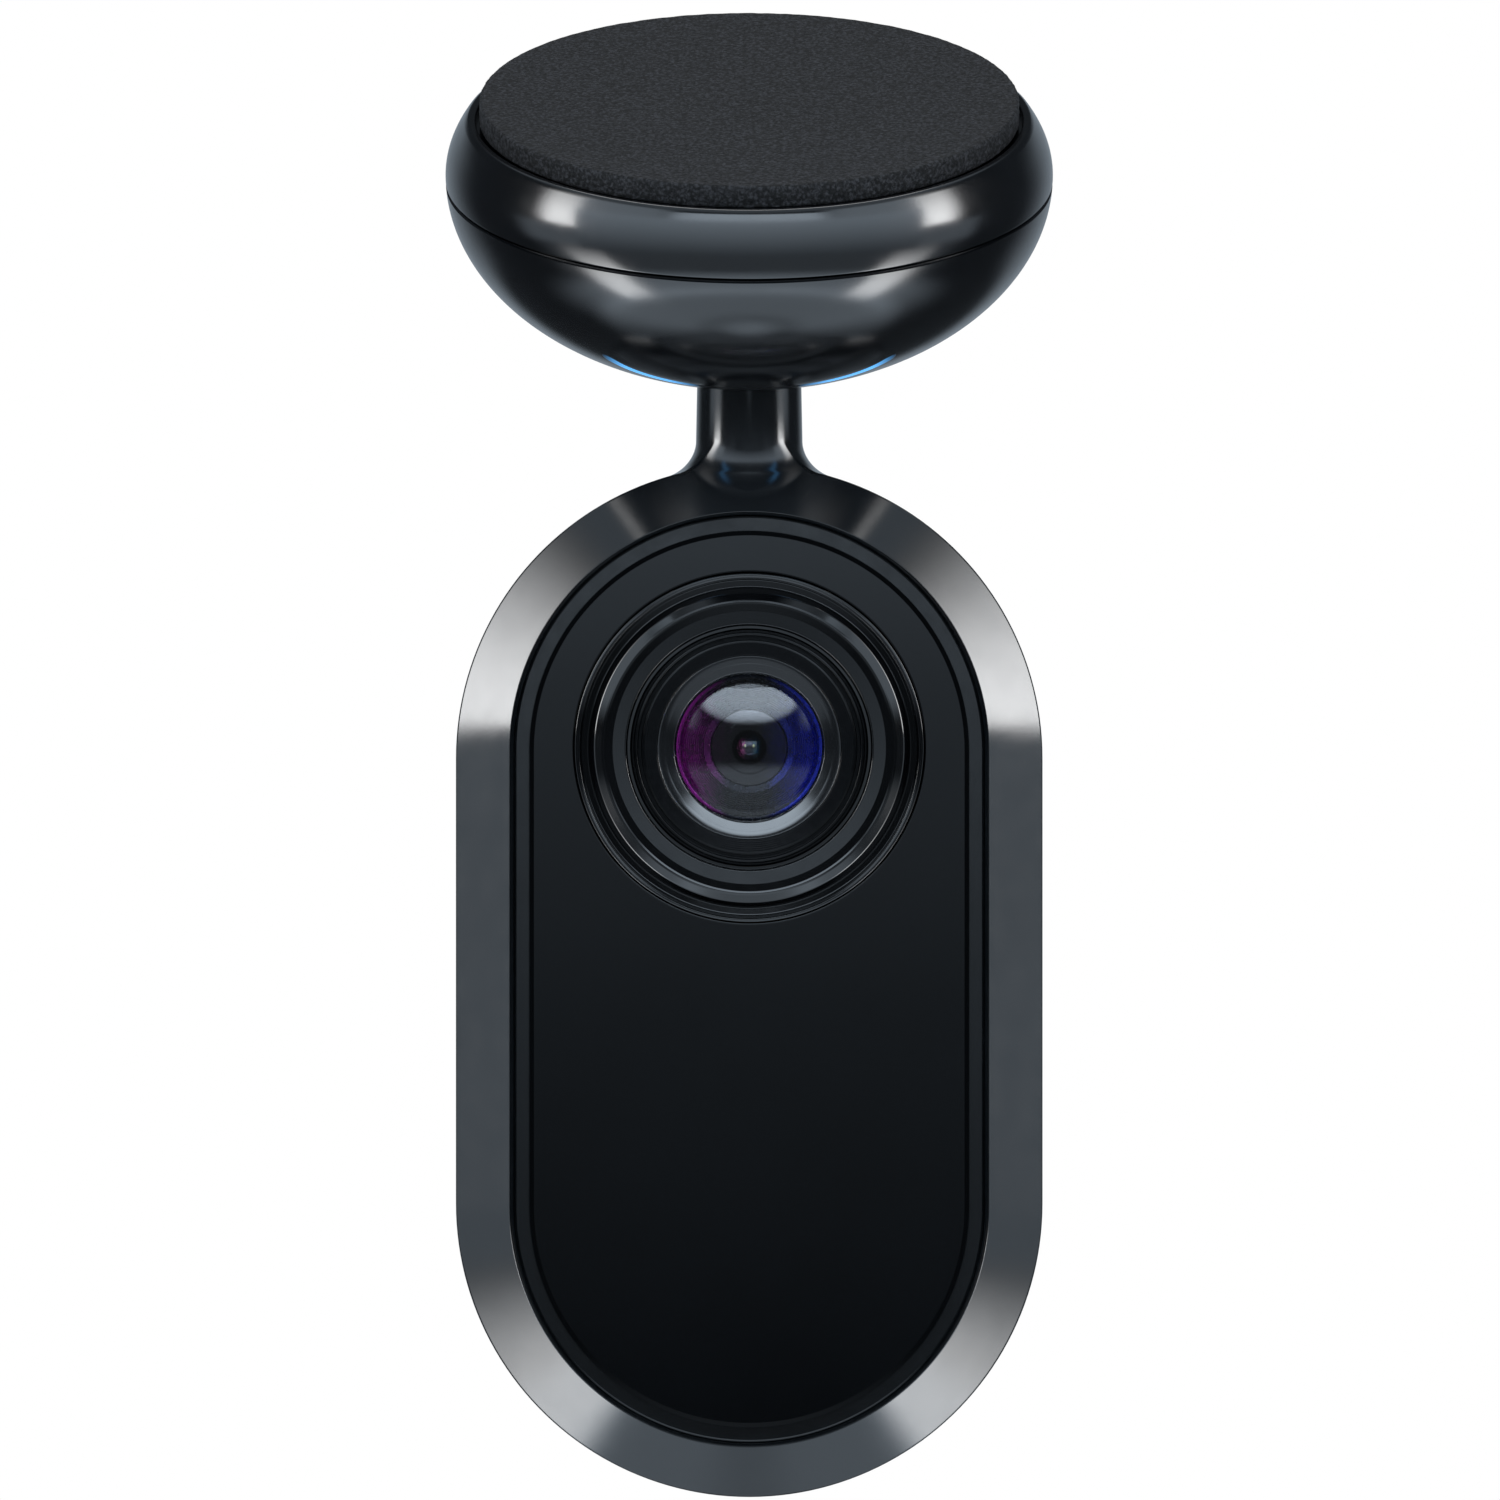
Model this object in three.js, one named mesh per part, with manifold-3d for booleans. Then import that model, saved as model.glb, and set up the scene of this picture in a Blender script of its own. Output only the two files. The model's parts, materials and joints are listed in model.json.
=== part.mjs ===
// Dash camera on a disc-shaped windscreen mount, with a ball joint between the two.
// Millimetres, +Z up, the lens looks along -Y. The origin is the centre of the adhesive pad's face.
import * as THREE from "three";
import { mergeVertices } from "three/addons/utils/BufferGeometryUtils.js";
import Module from "manifold-3d";

const wasm = await Module();
wasm.setup();

// ---- driving dimensions: mount ----
const DISC_TILT = THREE.MathUtils.degToRad(19.4); // the disc leans forward by this over the camera
const DISC_R = 19.68;          // widest radius of the disc, at its equator
const EQUATOR_Z = -5.19;       // equator plane, below the pad's face
const DOME_UP = 10.3;          // half height of the upper housing's ellipse
const DOME_DOWN = 13.16;       // half height of the lower shell's ellipse
const SEAM_TOP = -5.5;         // bottom face of the upper housing
const SEAM_LOW = -5.65;        // top face of the lower shell
const SHELL = 1.4;             // wall of both mouldings
const PAD_R = 17.5;
const PAD_T = 1.5;
const PAD_GAP = 0.3;           // glue line under and around the pad
const LIP_H = 3.7;             // height above the equator at which the rim rounds in
const OPENING_R = 7.6;         // hole under the ball
const BALL_Z = -10.2;          // ball centre on the disc's axis
const BALL_R = 6.6;
const BALL_PLAY = 0.25;        // ball to socket
const BALL_FLAT = 5.0;         // flat under the ball, below its centre
const FLANGE_R = 13;
const SCREW_RING = 10.8;
const SCREW_TURNS = [90, 195, 345];

// ---- driving dimensions: camera ----
const BODY_R = 19;             // stadium outline: end radius
const BODY_L = 14.43;          // and half distance between the end centres
const BODY_DROP = 57.14;       // centre of the body, below the pad's face
const NECK_OFFSET = 3.75;      // the neck stands this far in front of mid depth
const FRONT = -9;              // inner edge of the chamfer, from mid depth
const CHAMFER_DEPTH = 2.8;
const EDGE_R = 15.28;          // inner edge of the chamfer
const EDGE_L = 14.79;
const EDGE_Z = 0.13;
const GROOVE = 1.04;           // dark gap around the window
const WINDOW_Y = -8.85;
const WINDOW_T = 1.0;
const SEAT_Y = -7.0;           // shelf that the window is glued to
const OPEN_R = 12.9;           // opening in the shelf
const CAVITY_Y = -5.9;
const WALL = 1.6;
const COVER_Y = 6.05;          // front edge of the rear cover
const BACK = 9;
const LENS_Z = 15.12;          // lens axis, above the body's centre
const BOARD_Y = 4.3;
const BOARD_T = 1.0;
const POST_X = 12.6;
const POST_Z = 20;
const POST_R = 2.4;
const NECK_TOP_R = 3.3;
const USB = { z: -6, y: 0.5, long: 8.94, short: 3.26, deep: 7.3 };
const CARD = { z: -7, y: 2.6, wide: 11, thick: 0.8, long: 15 };
const BUTTON = { z: 15.12, r: 4.2, travel: 0.6 };
const SPEAKER = { z: -16, r: 6.5 };
const FINE = 44;
const MEDIUM = 24;
const COARSE = 14;

// ---- solids ----
function toSolid(geometry) {
  const bare = geometry.index ? geometry.clone() : geometry;
  bare.deleteAttribute("normal");
  bare.deleteAttribute("uv");
  const merged = mergeVertices(bare, 1e-4);
  const index = merged.index.array;
  const place = merged.attributes.position.array;
  const kept = [];
  let volume = 0;
  const a = new THREE.Vector3();
  const b = new THREE.Vector3();
  const c = new THREE.Vector3();
  for (let i = 0; i < index.length; i += 3) {
    const [p, q, r] = [index[i], index[i + 1], index[i + 2]];
    if (p === q || q === r || r === p) continue;
    kept.push(p, q, r);
    a.fromArray(place, 3 * p);
    b.fromArray(place, 3 * q);
    c.fromArray(place, 3 * r);
    volume += a.dot(b.cross(c));
  }
  if (volume < 0) kept.reverse();
  const mesh = new wasm.Mesh({
    numProp: 3,
    vertProperties: new Float32Array(place),
    triVerts: new Uint32Array(kept),
  });
  return new wasm.Manifold(mesh);
}

function toGeometry(solid) {
  const mesh = solid.getMesh();
  const geometry = new THREE.BufferGeometry();
  geometry.setAttribute("position", new THREE.BufferAttribute(mesh.vertProperties, 3));
  geometry.setIndex(new THREE.BufferAttribute(mesh.triVerts, 1));
  geometry.computeVertexNormals();
  return geometry;
}

const V2 = (list) => list.map(([x, y]) => new THREE.Vector2(x, y));

// A solid of revolution about Z; the profile is a list of [radius, z].
function lathe(profile, segments = MEDIUM) {
  const onAxis = profile[0][0] === 0 && profile[profile.length - 1][0] === 0;
  const points = onAxis ? profile : [...profile, profile[0]];
  return toSolid(new THREE.LatheGeometry(V2(points), segments).rotateX(Math.PI / 2));
}

function cylinder(radius, low, high, segments = COARSE) {
  return lathe([[0, low], [radius, low], [radius, high], [0, high]], segments);
}

// The same solid turned so that its own +Z looks out of the lens side, along -Y.
function facingFront(solid, x, y, z) {
  return solid.rotate([90, 0, 0]).translate([x, y, z]);
}

function block(x0, x1, y0, y1, z0, z1) {
  const box = new THREE.BoxGeometry(x1 - x0, y1 - y0, z1 - z0);
  return toSolid(box.translate((x0 + x1) / 2, (y0 + y1) / 2, (z0 + z1) / 2));
}

function prism(shape, depth, curveSegments = 8) {
  return toSolid(new THREE.ExtrudeGeometry(shape, { depth, bevelEnabled: false, curveSegments }));
}

// Points round a stadium of end radius r and half distance l, raised by z, in the XZ plane.
function stadiumPoints(r, l, z, steps) {
  const points = [];
  for (let end = 0; end < 2; end += 1) {
    for (let i = 0; i <= steps; i += 1) {
      const turn = Math.PI * (end + i / steps);
      points.push([r * Math.cos(turn), z + (end ? -l : l) + r * Math.sin(turn)]);
    }
  }
  return points;
}

// A solid through stadium sections, each [radius, half distance, y, raise], front to back.
function stadiumSolid(sections, steps = 14) {
  const position = [];
  const index = [];
  const rings = sections.map(([r, l, y, raise = 0]) => {
    const first = position.length / 3;
    const points = stadiumPoints(r, l, raise, steps);
    for (const [x, z] of points) position.push(x, y, z);
    return { first, count: points.length, y, raise };
  });
  const count = rings[0].count;
  for (let k = 0; k + 1 < rings.length; k += 1) {
    const front = rings[k].first;
    const back = rings[k + 1].first;
    for (let i = 0; i < count; i += 1) {
      const j = (i + 1) % count;
      index.push(front + i, front + j, back + j, front + i, back + j, back + i);
    }
  }
  for (const [ring, flip] of [[rings[0], true], [rings[rings.length - 1], false]]) {
    const centre = position.length / 3;
    position.push(0, ring.y, ring.raise);
    for (let i = 0; i < count; i += 1) {
      const j = (i + 1) % count;
      const [p, q] = flip ? [ring.first + j, ring.first + i] : [ring.first + i, ring.first + j];
      index.push(centre, p, q);
    }
  }
  const geometry = new THREE.BufferGeometry();
  geometry.setAttribute("position", new THREE.Float32BufferAttribute(position, 3));
  geometry.setIndex(index);
  return toSolid(geometry);
}

// Rounded rectangle, centred, w by h.
function roundedRect(w, h, r) {
  const shape = new THREE.Shape();
  shape.absarc(w / 2 - r, h / 2 - r, r, 0, Math.PI / 2);
  shape.absarc(r - w / 2, h / 2 - r, r, Math.PI / 2, Math.PI);
  shape.absarc(r - w / 2, r - h / 2, r, Math.PI, 1.5 * Math.PI);
  shape.absarc(w / 2 - r, r - h / 2, r, 1.5 * Math.PI, 2 * Math.PI);
  return shape;
}

// ---- materials ----
const paint = (color, roughness, metalness) =>
  new THREE.MeshStandardMaterial({ color, roughness, metalness });
const FINISH = {
  housing: paint(0x1b2026, 0.22, 0.1),
  satin: paint(0x31393f, 0.35, 0.3),
  window: paint(0x12161b, 0.12, 0),
  foam: paint(0x17181a, 0.95, 0),
  ring: paint(0x0c0e11, 0.3, 0.2),
  glass: paint(0x1d1a3a, 0.05, 0),
  light: paint(0x5da4ea, 0.3, 0),
  steel: paint(0x9a9c9f, 0.3, 1),
  board: paint(0x1e4a34, 0.6, 0),
  chip: paint(0x18191b, 0.5, 0),
  alloy: paint(0xb9bcc0, 0.35, 1),
  nylon: paint(0xc9c7bf, 0.6, 0),
  rubber: paint(0x141415, 0.8, 0),
  cell: paint(0x7d868f, 0.45, 0.4),
  gold: paint(0xc8a24a, 0.3, 1),
};

function part(name, solid, finish) {
  const mesh = new THREE.Mesh(toGeometry(solid), FINISH[finish]);
  mesh.name = name;
  return mesh;
}

// ---- mount, in its own frame: pad's face at z = 0, disc axis along Z ----
// Half width of an ellipse of half height tall, h above or below its middle.
const ellipseR = (wide, tall, h) => wide * Math.sqrt(Math.max(0, 1 - (h / tall) ** 2));

function ellipseArc(wide, tall, from, to, steps) {
  const points = [];
  for (let i = 0; i <= steps; i += 1) {
    const turn = from + (to - from) * (i / steps);
    points.push([wide * Math.cos(turn), EQUATOR_Z + tall * Math.sin(turn)]);
  }
  return points;
}

function adhesivePad() {
  const edge = 0.15;
  return lathe([
    [0, -PAD_T], [PAD_R - edge, -PAD_T], [PAD_R, -PAD_T + edge],
    [PAD_R, -edge], [PAD_R - edge, 0], [0, 0],
  ], FINE);
}

function upperHousing() {
  const start = Math.asin((SEAM_TOP - EQUATOR_Z) / DOME_UP);
  const stop = Math.asin(LIP_H / DOME_UP);
  const outer = ellipseArc(DISC_R, DOME_UP, start, stop, 6);
  const rimTop = EQUATOR_Z + LIP_H + 0.15;
  const pocketR = PAD_R + PAD_GAP;
  const floor = -PAD_T - PAD_GAP;
  return lathe([
    ...outer,
    [18.1, rimTop], [17.9, rimTop - 0.02], [pocketR, rimTop - 0.15],
    [pocketR, floor], [0, floor], [0, floor - SHELL],
    [16.8, floor - SHELL], [DISC_R - SHELL, SEAM_TOP],
  ], FINE);
}

function dome(shrink, low) {
  const wide = DISC_R - shrink;
  const tall = DOME_DOWN - shrink;
  const stop = -Math.acos(OPENING_R / wide);
  const start = Math.asin((low - EQUATOR_Z) / tall);
  return ellipseArc(wide, tall, start, stop, 8);
}

const screwPlace = (turn) => {
  const angle = THREE.MathUtils.degToRad(turn);
  return [SCREW_RING * Math.cos(angle), SCREW_RING * Math.sin(angle)];
};

// Plan of the status light: a shallow bow ahead of the ball, with its ends turned forward.
function lightBand(halfWidth, halfSpan) {
  const steps = 12;
  const near = [];
  const far = [];
  for (let i = 0; i <= steps; i += 1) {
    const x = halfSpan * (2 * i / steps - 1);
    const y = -(11.1 + 1.1 * Math.abs(x / 9.26) ** 6);
    near.push([x, y - halfWidth]);
    far.push([x, y + halfWidth]);
  }
  return new THREE.Shape(V2([...near, ...far.reverse()]));
}

function domeSolid(shrink) {
  const points = ellipseArc(DISC_R - shrink, DOME_DOWN - shrink, -Math.PI / 2, 0, 12);
  points[0][0] = 0;
  return lathe([...points, [0, EQUATOR_Z]], FINE);
}

const LIGHT_LOW = -19;
const LIGHT_HIGH = -10.5;
const LIGHT_SPAN = 9.5;

function lightBar() {
  const band = prism(lightBand(0.4, LIGHT_SPAN), LIGHT_HIGH - LIGHT_LOW).translate([0, 0, LIGHT_LOW]);
  return band.intersect(domeSolid(0.02)).subtract(domeSolid(1.6));
}

function lowerShell() {
  let solid = lathe([...dome(0, SEAM_LOW), ...dome(SHELL, SEAM_LOW).reverse()], FINE);
  for (const turn of SCREW_TURNS) {
    const [x, y] = screwPlace(turn);
    solid = solid.add(cylinder(2.1, -15.2, -11.6, 12).translate([x, y, 0]));
    solid = solid.subtract(cylinder(1.3, -14.0, -11, 12).translate([x, y, 0]));
  }
  const slot = prism(lightBand(0.7, LIGHT_SPAN + 0.3), LIGHT_HIGH - LIGHT_LOW);
  return solid.subtract(slot.translate([0, 0, LIGHT_LOW]));
}

// Ring that cups the ball between two latitudes (degrees from its equator), with a screw flange.
function socketHalf(from, to, outerR, endZ, flangeLow, flangeHigh) {
  const inner = [];
  for (let i = 0; i <= 6; i += 1) {
    const turn = THREE.MathUtils.degToRad(from + (to - from) * (i / 6));
    const r = BALL_R + BALL_PLAY;
    inner.push([r * Math.cos(turn), BALL_Z + r * Math.sin(turn)]);
  }
  const down = to < 0;
  const [near, far] = down ? [flangeHigh, flangeLow] : [flangeLow, flangeHigh];
  let solid = lathe([
    ...inner, [inner[6][0] + 0.9, endZ], [outerR, endZ], [outerR, far], [FLANGE_R, far],
    [FLANGE_R, near], [inner[0][0], near],
  ], MEDIUM);
  for (const turn of SCREW_TURNS) {
    const [x, y] = screwPlace(turn);
    solid = solid.subtract(cylinder(1.3, flangeLow - 1, flangeHigh + 1, 12).translate([x, y, 0]));
  }
  return solid;
}

function panScrew(headR, headT, shankR, length) {
  return lathe([
    [0, -length], [shankR * 0.7, -length], [shankR, -length + 0.4], [shankR, 0],
    [headR, 0], [headR, headT * 0.6], [headR * 0.8, headT], [0, headT],
  ], 12);
}

function waveWasher() {
  return lathe([[5.3, -4.1], [7.7, -4.1], [7.7, -3.6], [5.3, -3.6]], MEDIUM);
}

const mount = new THREE.Group();
mount.rotation.x = DISC_TILT;
mount.add(
  part("adhesive_pad", adhesivePad(), "foam"),
  part("mount_upper_housing", upperHousing(), "housing"),
  part("mount_lower_shell", lowerShell(), "housing"),
  part("status_light_guide", lightBar(), "light"),
  part("ball_socket_upper", socketHalf(4, 46, 8.2, -4.6, -9.6, -8.8), "nylon"),
  part("ball_socket_lower", socketHalf(-2, -32, 8.2, -14.2, -11.2, -10.1), "nylon"),
  part("friction_washer", waveWasher(), "steel"),
);
SCREW_TURNS.forEach((turn, i) => {
  const [x, y] = screwPlace(turn);
  const screw = panScrew(1.9, 1.1, 1.0, 4.9).translate([x, y, -8.5]);
  mount.add(part(`socket_screw_${i + 1}`, screw, "steel"));
});
const LED_BOARD_Z = -9.4;
mount.add(part("status_light_board", block(-6, 6, -15.3, -13.4, LED_BOARD_Z, LED_BOARD_Z + 0.8), "board"));
for (const [side, x] of [["left", -4.6], ["right", 4.6]]) {
  const led = block(x - 0.8, x + 0.8, -15.1, -13.6, LED_BOARD_Z - 0.9, LED_BOARD_Z - 0.1);
  mount.add(part(`status_led_${side}`, led, "light"));
}

// ---- ball, upright on the neck's axis ----
const BALL_CENTRE = new THREE.Vector3(0, 0, BALL_Z).applyAxisAngle(new THREE.Vector3(1, 0, 0), DISC_TILT);
const ball = new THREE.Group();
ball.position.copy(BALL_CENTRE);

function jointBall() {
  const low = -Math.asin(BALL_FLAT / BALL_R);
  const points = [[0, -BALL_FLAT]];
  const steps = 10;
  for (let i = 0; i <= steps; i += 1) {
    const turn = low + (Math.PI / 2 - low) * (i / steps);
    points.push([i === steps ? 0 : BALL_R * Math.cos(turn), BALL_R * Math.sin(turn)]);
  }
  return lathe(points, MEDIUM).subtract(cylinder(1.6, -BALL_FLAT - 1, 1.2));
}
ball.add(
  part("joint_ball", jointBall(), "housing"),
  part("ball_stem", cylinder(1.3, -11.2, 0.9), "steel"),
);

// ---- camera, centred on mid width, mid depth and mid height of its body ----
const camera = new THREE.Group();
camera.position.set(0, BALL_CENTRE.y + NECK_OFFSET, -BODY_DROP);
const NECK_TOP_Z = BALL_CENTRE.z - BALL_FLAT - 0.3 + BODY_DROP;
const BODY_TOP = BODY_R + BODY_L;

// Neck: a slightly tapered round stalk that flares on to the body.
function neck() {
  const foot = BODY_TOP - 3.2;
  const shaft = BODY_TOP + 0.95;
  const flare = [];
  for (let i = 0; i <= 6; i += 1) {
    const t = i / 6;
    flare.push([3.7 + 2.0 * (1 - t) ** 2, foot + (shaft - foot) * t]);
  }
  const stalk = lathe([
    [0, foot - 1], [5.7, foot - 1], ...flare, [NECK_TOP_R, NECK_TOP_Z], [0, NECK_TOP_Z],
  ], MEDIUM);
  const web = new THREE.Shape();
  web.moveTo(-3.6, BODY_TOP + 1);
  web.quadraticCurveTo(-3.8, BODY_TOP - 0.6, -6.3, BODY_TOP - 1.15);
  web.lineTo(-6.3, BODY_TOP - 3);
  web.lineTo(6.3, BODY_TOP - 3);
  web.lineTo(6.3, BODY_TOP - 1.15);
  web.quadraticCurveTo(3.8, BODY_TOP - 0.6, 3.6, BODY_TOP + 1);
  const gusset = prism(web, 6.4, 8).rotate([90, 0, 0]).translate([0, 3.2, 0]);
  return stalk.add(gusset).translate([0, -NECK_OFFSET, 0]);
}

function postAt(x, z, radius, y0, y1) {
  return facingFront(cylinder(radius, 0, y1 - y0, 12), x, y1, z);
}

const POSTS = [-1, 1].flatMap((sx) => [-1, 1].map((sz) => [sx * POST_X, sz * POST_Z]));

function bodyShell() {
  const skin = stadiumSolid([
    [EDGE_R, EDGE_L, FRONT, EDGE_Z],
    [BODY_R - 0.15, BODY_L, FRONT + CHAMFER_DEPTH - 0.05],
    [BODY_R, BODY_L, FRONT + CHAMFER_DEPTH + 0.12],
    [BODY_R, BODY_L, COVER_Y - 0.1],
  ], 18);
  let solid = skin.add(neck());
  solid = solid.subtract(stadiumSolid([[EDGE_R, EDGE_L, FRONT - 1, EDGE_Z], [EDGE_R, EDGE_L, SEAT_Y, EDGE_Z]], 18));
  solid = solid.subtract(stadiumSolid([[OPEN_R, BODY_L, SEAT_Y - 1], [OPEN_R, BODY_L, CAVITY_Y + 1]]));
  const innerR = BODY_R - WALL;
  const cavity = stadiumSolid([[innerR, BODY_L, CAVITY_Y], [innerR, BODY_L, COVER_Y + 1]]);
  solid = solid.subtract(cavity);
  for (const [x, z] of POSTS) {
    solid = solid.add(postAt(x, z, POST_R, CAVITY_Y - 0.4, COVER_Y - 0.3));
    solid = solid.subtract(postAt(x, z, 1.15, -1, COVER_Y + 1));
  }
  const bore = cylinder(1.6, BODY_TOP - 4, NECK_TOP_Z + 1).translate([0, -NECK_OFFSET, 0]);
  const usbHole = prism(roundedRect(USB.short + 0.6, USB.long + 0.6, 1.8), 6, 5)
    .rotate([0, 90, 0]).rotate([90, 0, 0]).translate([-BODY_R - 3, USB.y, USB.z]);
  const cardHole = block(BODY_R - 3, BODY_R + 1, CARD.y - 0.7, CARD.y + 0.7,
    CARD.z - CARD.wide / 2 - 0.5, CARD.z + CARD.wide / 2 + 0.5);
  return solid.subtract(bore).subtract(usbHole).subtract(cardHole);
}

function rearCover() {
  const skin = stadiumSolid([
    [BODY_R, BODY_L, COVER_Y],
    [BODY_R, BODY_L, BACK - 1.6],
    [BODY_R - 0.25, BODY_L, BACK - 0.85],
    [BODY_R - 0.85, BODY_L, BACK - 0.25],
    [BODY_R - 1.7, BODY_L, BACK],
  ], 18);
  const inner = BODY_R - WALL;
  let solid = skin.subtract(stadiumSolid([[inner, BODY_L, COVER_Y - 1], [inner, BODY_L, BACK - 1.4]]));
  for (const [x, z] of POSTS) {
    solid = solid.add(postAt(x, z, 2.9, COVER_Y + 0.4, BACK - 0.5));
    solid = solid.subtract(postAt(x, z, 1.25, COVER_Y - 1, BACK + 1));
    solid = solid.subtract(postAt(x, z, 2.2, BACK - 1.3, BACK + 1));
  }
  solid = solid.subtract(postAt(0, BUTTON.z, BUTTON.r + 0.25, COVER_Y, BACK + 1));
  for (let row = -3; row <= 3; row += 1) {
    const half = Math.sqrt(5.4 ** 2 - (row * 1.5) ** 2);
    solid = solid.subtract(block(-half, half, COVER_Y, BACK + 1,
      SPEAKER.z + row * 1.5 - 0.3, SPEAKER.z + row * 1.5 + 0.3));
  }
  return solid;
}

function windowPanel() {
  const r = EDGE_R - GROOVE;
  const plate = stadiumSolid([
    [r - 0.15, EDGE_L, WINDOW_Y, EDGE_Z - 0.02],
    [r, EDGE_L, WINDOW_Y + 0.15, EDGE_Z - 0.02],
    [r, EDGE_L, WINDOW_Y + WINDOW_T, EDGE_Z - 0.02],
  ], 18);
  return plate.subtract(facingFront(cylinder(11.5, -3, 3, FINE), 0, FRONT, LENS_Z));
}

function windowGasket() {
  const low = WINDOW_Y + WINDOW_T + 0.05;
  const high = SEAT_Y - 0.05;
  const outer = stadiumSolid([[14.1, EDGE_L, low, EDGE_Z], [14.1, EDGE_L, high, EDGE_Z]]);
  return outer.subtract(stadiumSolid([[12.95, EDGE_L, low - 1, EDGE_Z], [12.95, EDGE_L, high + 1, EDGE_Z]]));
}

// Lens pieces are turned about the lens axis: [radius, distance in front of the chamfer's edge].
const onLens = (solid) => facingFront(solid, 0, FRONT, LENS_Z);

function lensBezel() {
  return onLens(lathe([
    [11.3, -1.5], [11.3, 0.0], [11.15, 0.1], [10.95, 0.0], [10.6, -0.4], [10.2, -0.5], [9.85, -0.15],
    [9.65, 0.3], [9.45, 0.45], [9.25, 0.35], [8.95, -0.3], [8.6, -1.3], [7.95, -1.5], [7.95, -2.6],
    [9.4, -2.6], [9.4, -1.5],
  ], FINE));
}

function lensFrontRing() {
  return onLens(lathe([
    [7.7, -1.9], [7.7, -0.45], [7.45, -0.1], [7.0, 0.0], [6.95, -0.15], [5.95, -0.15],
    [4.95, -0.8], [4.95, -1.9],
  ], FINE));
}

function lensBarrel() {
  return onLens(lathe([
    [6.8, -1.95], [6.8, -9.0], [3.4, -9.0], [3.4, -5.4], [4.9, -5.4], [4.9, -1.95],
  ]));
}

// Glass element: two spherical caps of the given sags on an edge of the given radius.
function element(edgeR, middle, edgeT, frontSag, backSag) {
  const points = [];
  const steps = 4;
  for (let i = 0; i <= steps; i += 1) {
    const r = edgeR * (i / steps);
    points.push([r, middle - edgeT / 2 - backSag * (1 - (r / edgeR) ** 2)]);
  }
  for (let i = steps; i >= 0; i -= 1) {
    const r = edgeR * (i / steps);
    points.push([r, middle + edgeT / 2 + frontSag * (1 - (r / edgeR) ** 2)]);
  }
  return onLens(lathe(points, MEDIUM));
}

function baffle() {
  return onLens(lathe([
    [4.75, -3.2], [4.75, -5.3], [2.6, -5.3], [2.6, -4.9], [4.5, -3.2],
  ]));
}

function lensHolder() {
  const solid = block(-7.6, 7.6, -4, 2.4, LENS_Z - 7.6, LENS_Z + 7.6);
  const throat = onLens(cylinder(7.0, -9.2, 0, MEDIUM));
  return solid.subtract(throat).subtract(block(-4.6, 4.6, -1, 3, LENS_Z - 4.6, LENS_Z + 4.6));
}

function mainBoard() {
  let solid = stadiumSolid([[16.6, BODY_L, BOARD_Y], [16.6, BODY_L, BOARD_Y + BOARD_T]]);
  for (const [x, z] of POSTS) {
    solid = solid.subtract(postAt(x, z, POST_R + 0.3, BOARD_Y - 1, BOARD_Y + 2));
  }
  return solid;
}

function usbSocket() {
  const outer = roundedRect(USB.short, USB.long, 1.6);
  const shell = prism(outer, USB.deep, 5);
  const hollow = prism(roundedRect(USB.short - 0.7, USB.long - 0.7, 1.25), USB.deep, 5).translate([0, 0, -0.8]);
  const tongue = block(-0.35, 0.35, -3.3, 3.3, 1.2, USB.deep - 0.5);
  return shell.subtract(hollow).add(tongue)
    .rotate([0, 90, 0]).rotate([90, 0, 0]).translate([-BODY_R + 0.4, USB.y, USB.z]);
}

const CARD_OUT = BODY_R - 0.2;
const CARD_LOW = CARD.z - CARD.wide / 2;
const CARD_HIGH = CARD.z + CARD.wide / 2;

function cardSocket() {
  const left = CARD_OUT - CARD.long - 1.1;
  const solid = block(left, BODY_R - WALL - 0.6, CARD.y - 0.9, BOARD_Y - 0.1, CARD_LOW - 1, CARD_HIGH + 1);
  return solid.subtract(block(left + 0.7, BODY_R, CARD.y - 0.5, CARD.y + 0.5, CARD_LOW - 0.1, CARD_HIGH + 0.1));
}

function memoryCard() {
  const thick = CARD.thick / 2;
  const card = block(CARD_OUT - CARD.long, CARD_OUT, CARD.y - thick, CARD.y + thick, CARD_LOW, CARD_HIGH);
  const notch = block(CARD_OUT - CARD.long - 1, CARD_OUT - CARD.long + 6, CARD.y - 1, CARD.y + 1,
    CARD_HIGH - 1.3, CARD_HIGH + 1);
  return card.subtract(notch);
}

function recordButton() {
  const r = BUTTON.r;
  return facingFront(lathe([
    [0, 0.3], [r - 0.8, 0.3], [r - 0.25, 0.15], [r, -0.15], [r, -1.8], [1.4, -1.8], [1.4, -2.0], [0, -2.0],
  ].map(([x, w]) => [x, -w]), MEDIUM), 0, BACK, BUTTON.z);
}

function tactSwitch() {
  const low = BOARD_Y + BOARD_T + 0.05;
  return block(-2.2, 2.2, low, 6.1, BUTTON.z - 2.2, BUTTON.z + 2.2);
}

function coverScrew(x, z) {
  const screw = lathe([
    [0, -6.4], [0.7, -6.4], [0.95, -6], [0.95, 0], [1.95, 0], [1.95, 0.6], [1.6, 0.95], [0, 0.95],
  ], 12);
  const slot = block(-1.2, 1.2, -0.25, 0.25, 0.5, 2);
  const cross = screw.subtract(slot).subtract(slot.rotate([0, 0, 90]));
  return cross.rotate([-90, 0, 0]).translate([x, BACK - 1.25, z]);
}

function sensorFlex() {
  const strip = new THREE.Shape(V2([
    [3.35, 10], [3.55, 10], [3.55, 4.5], [4.2, 4.5], [4.2, 3.5], [3.35, 3.5],
  ]));
  return prism(strip, 5).rotate([90, 0, 0]).rotate([0, 0, 90]).translate([-2.5, 0, 0]);
}

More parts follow.
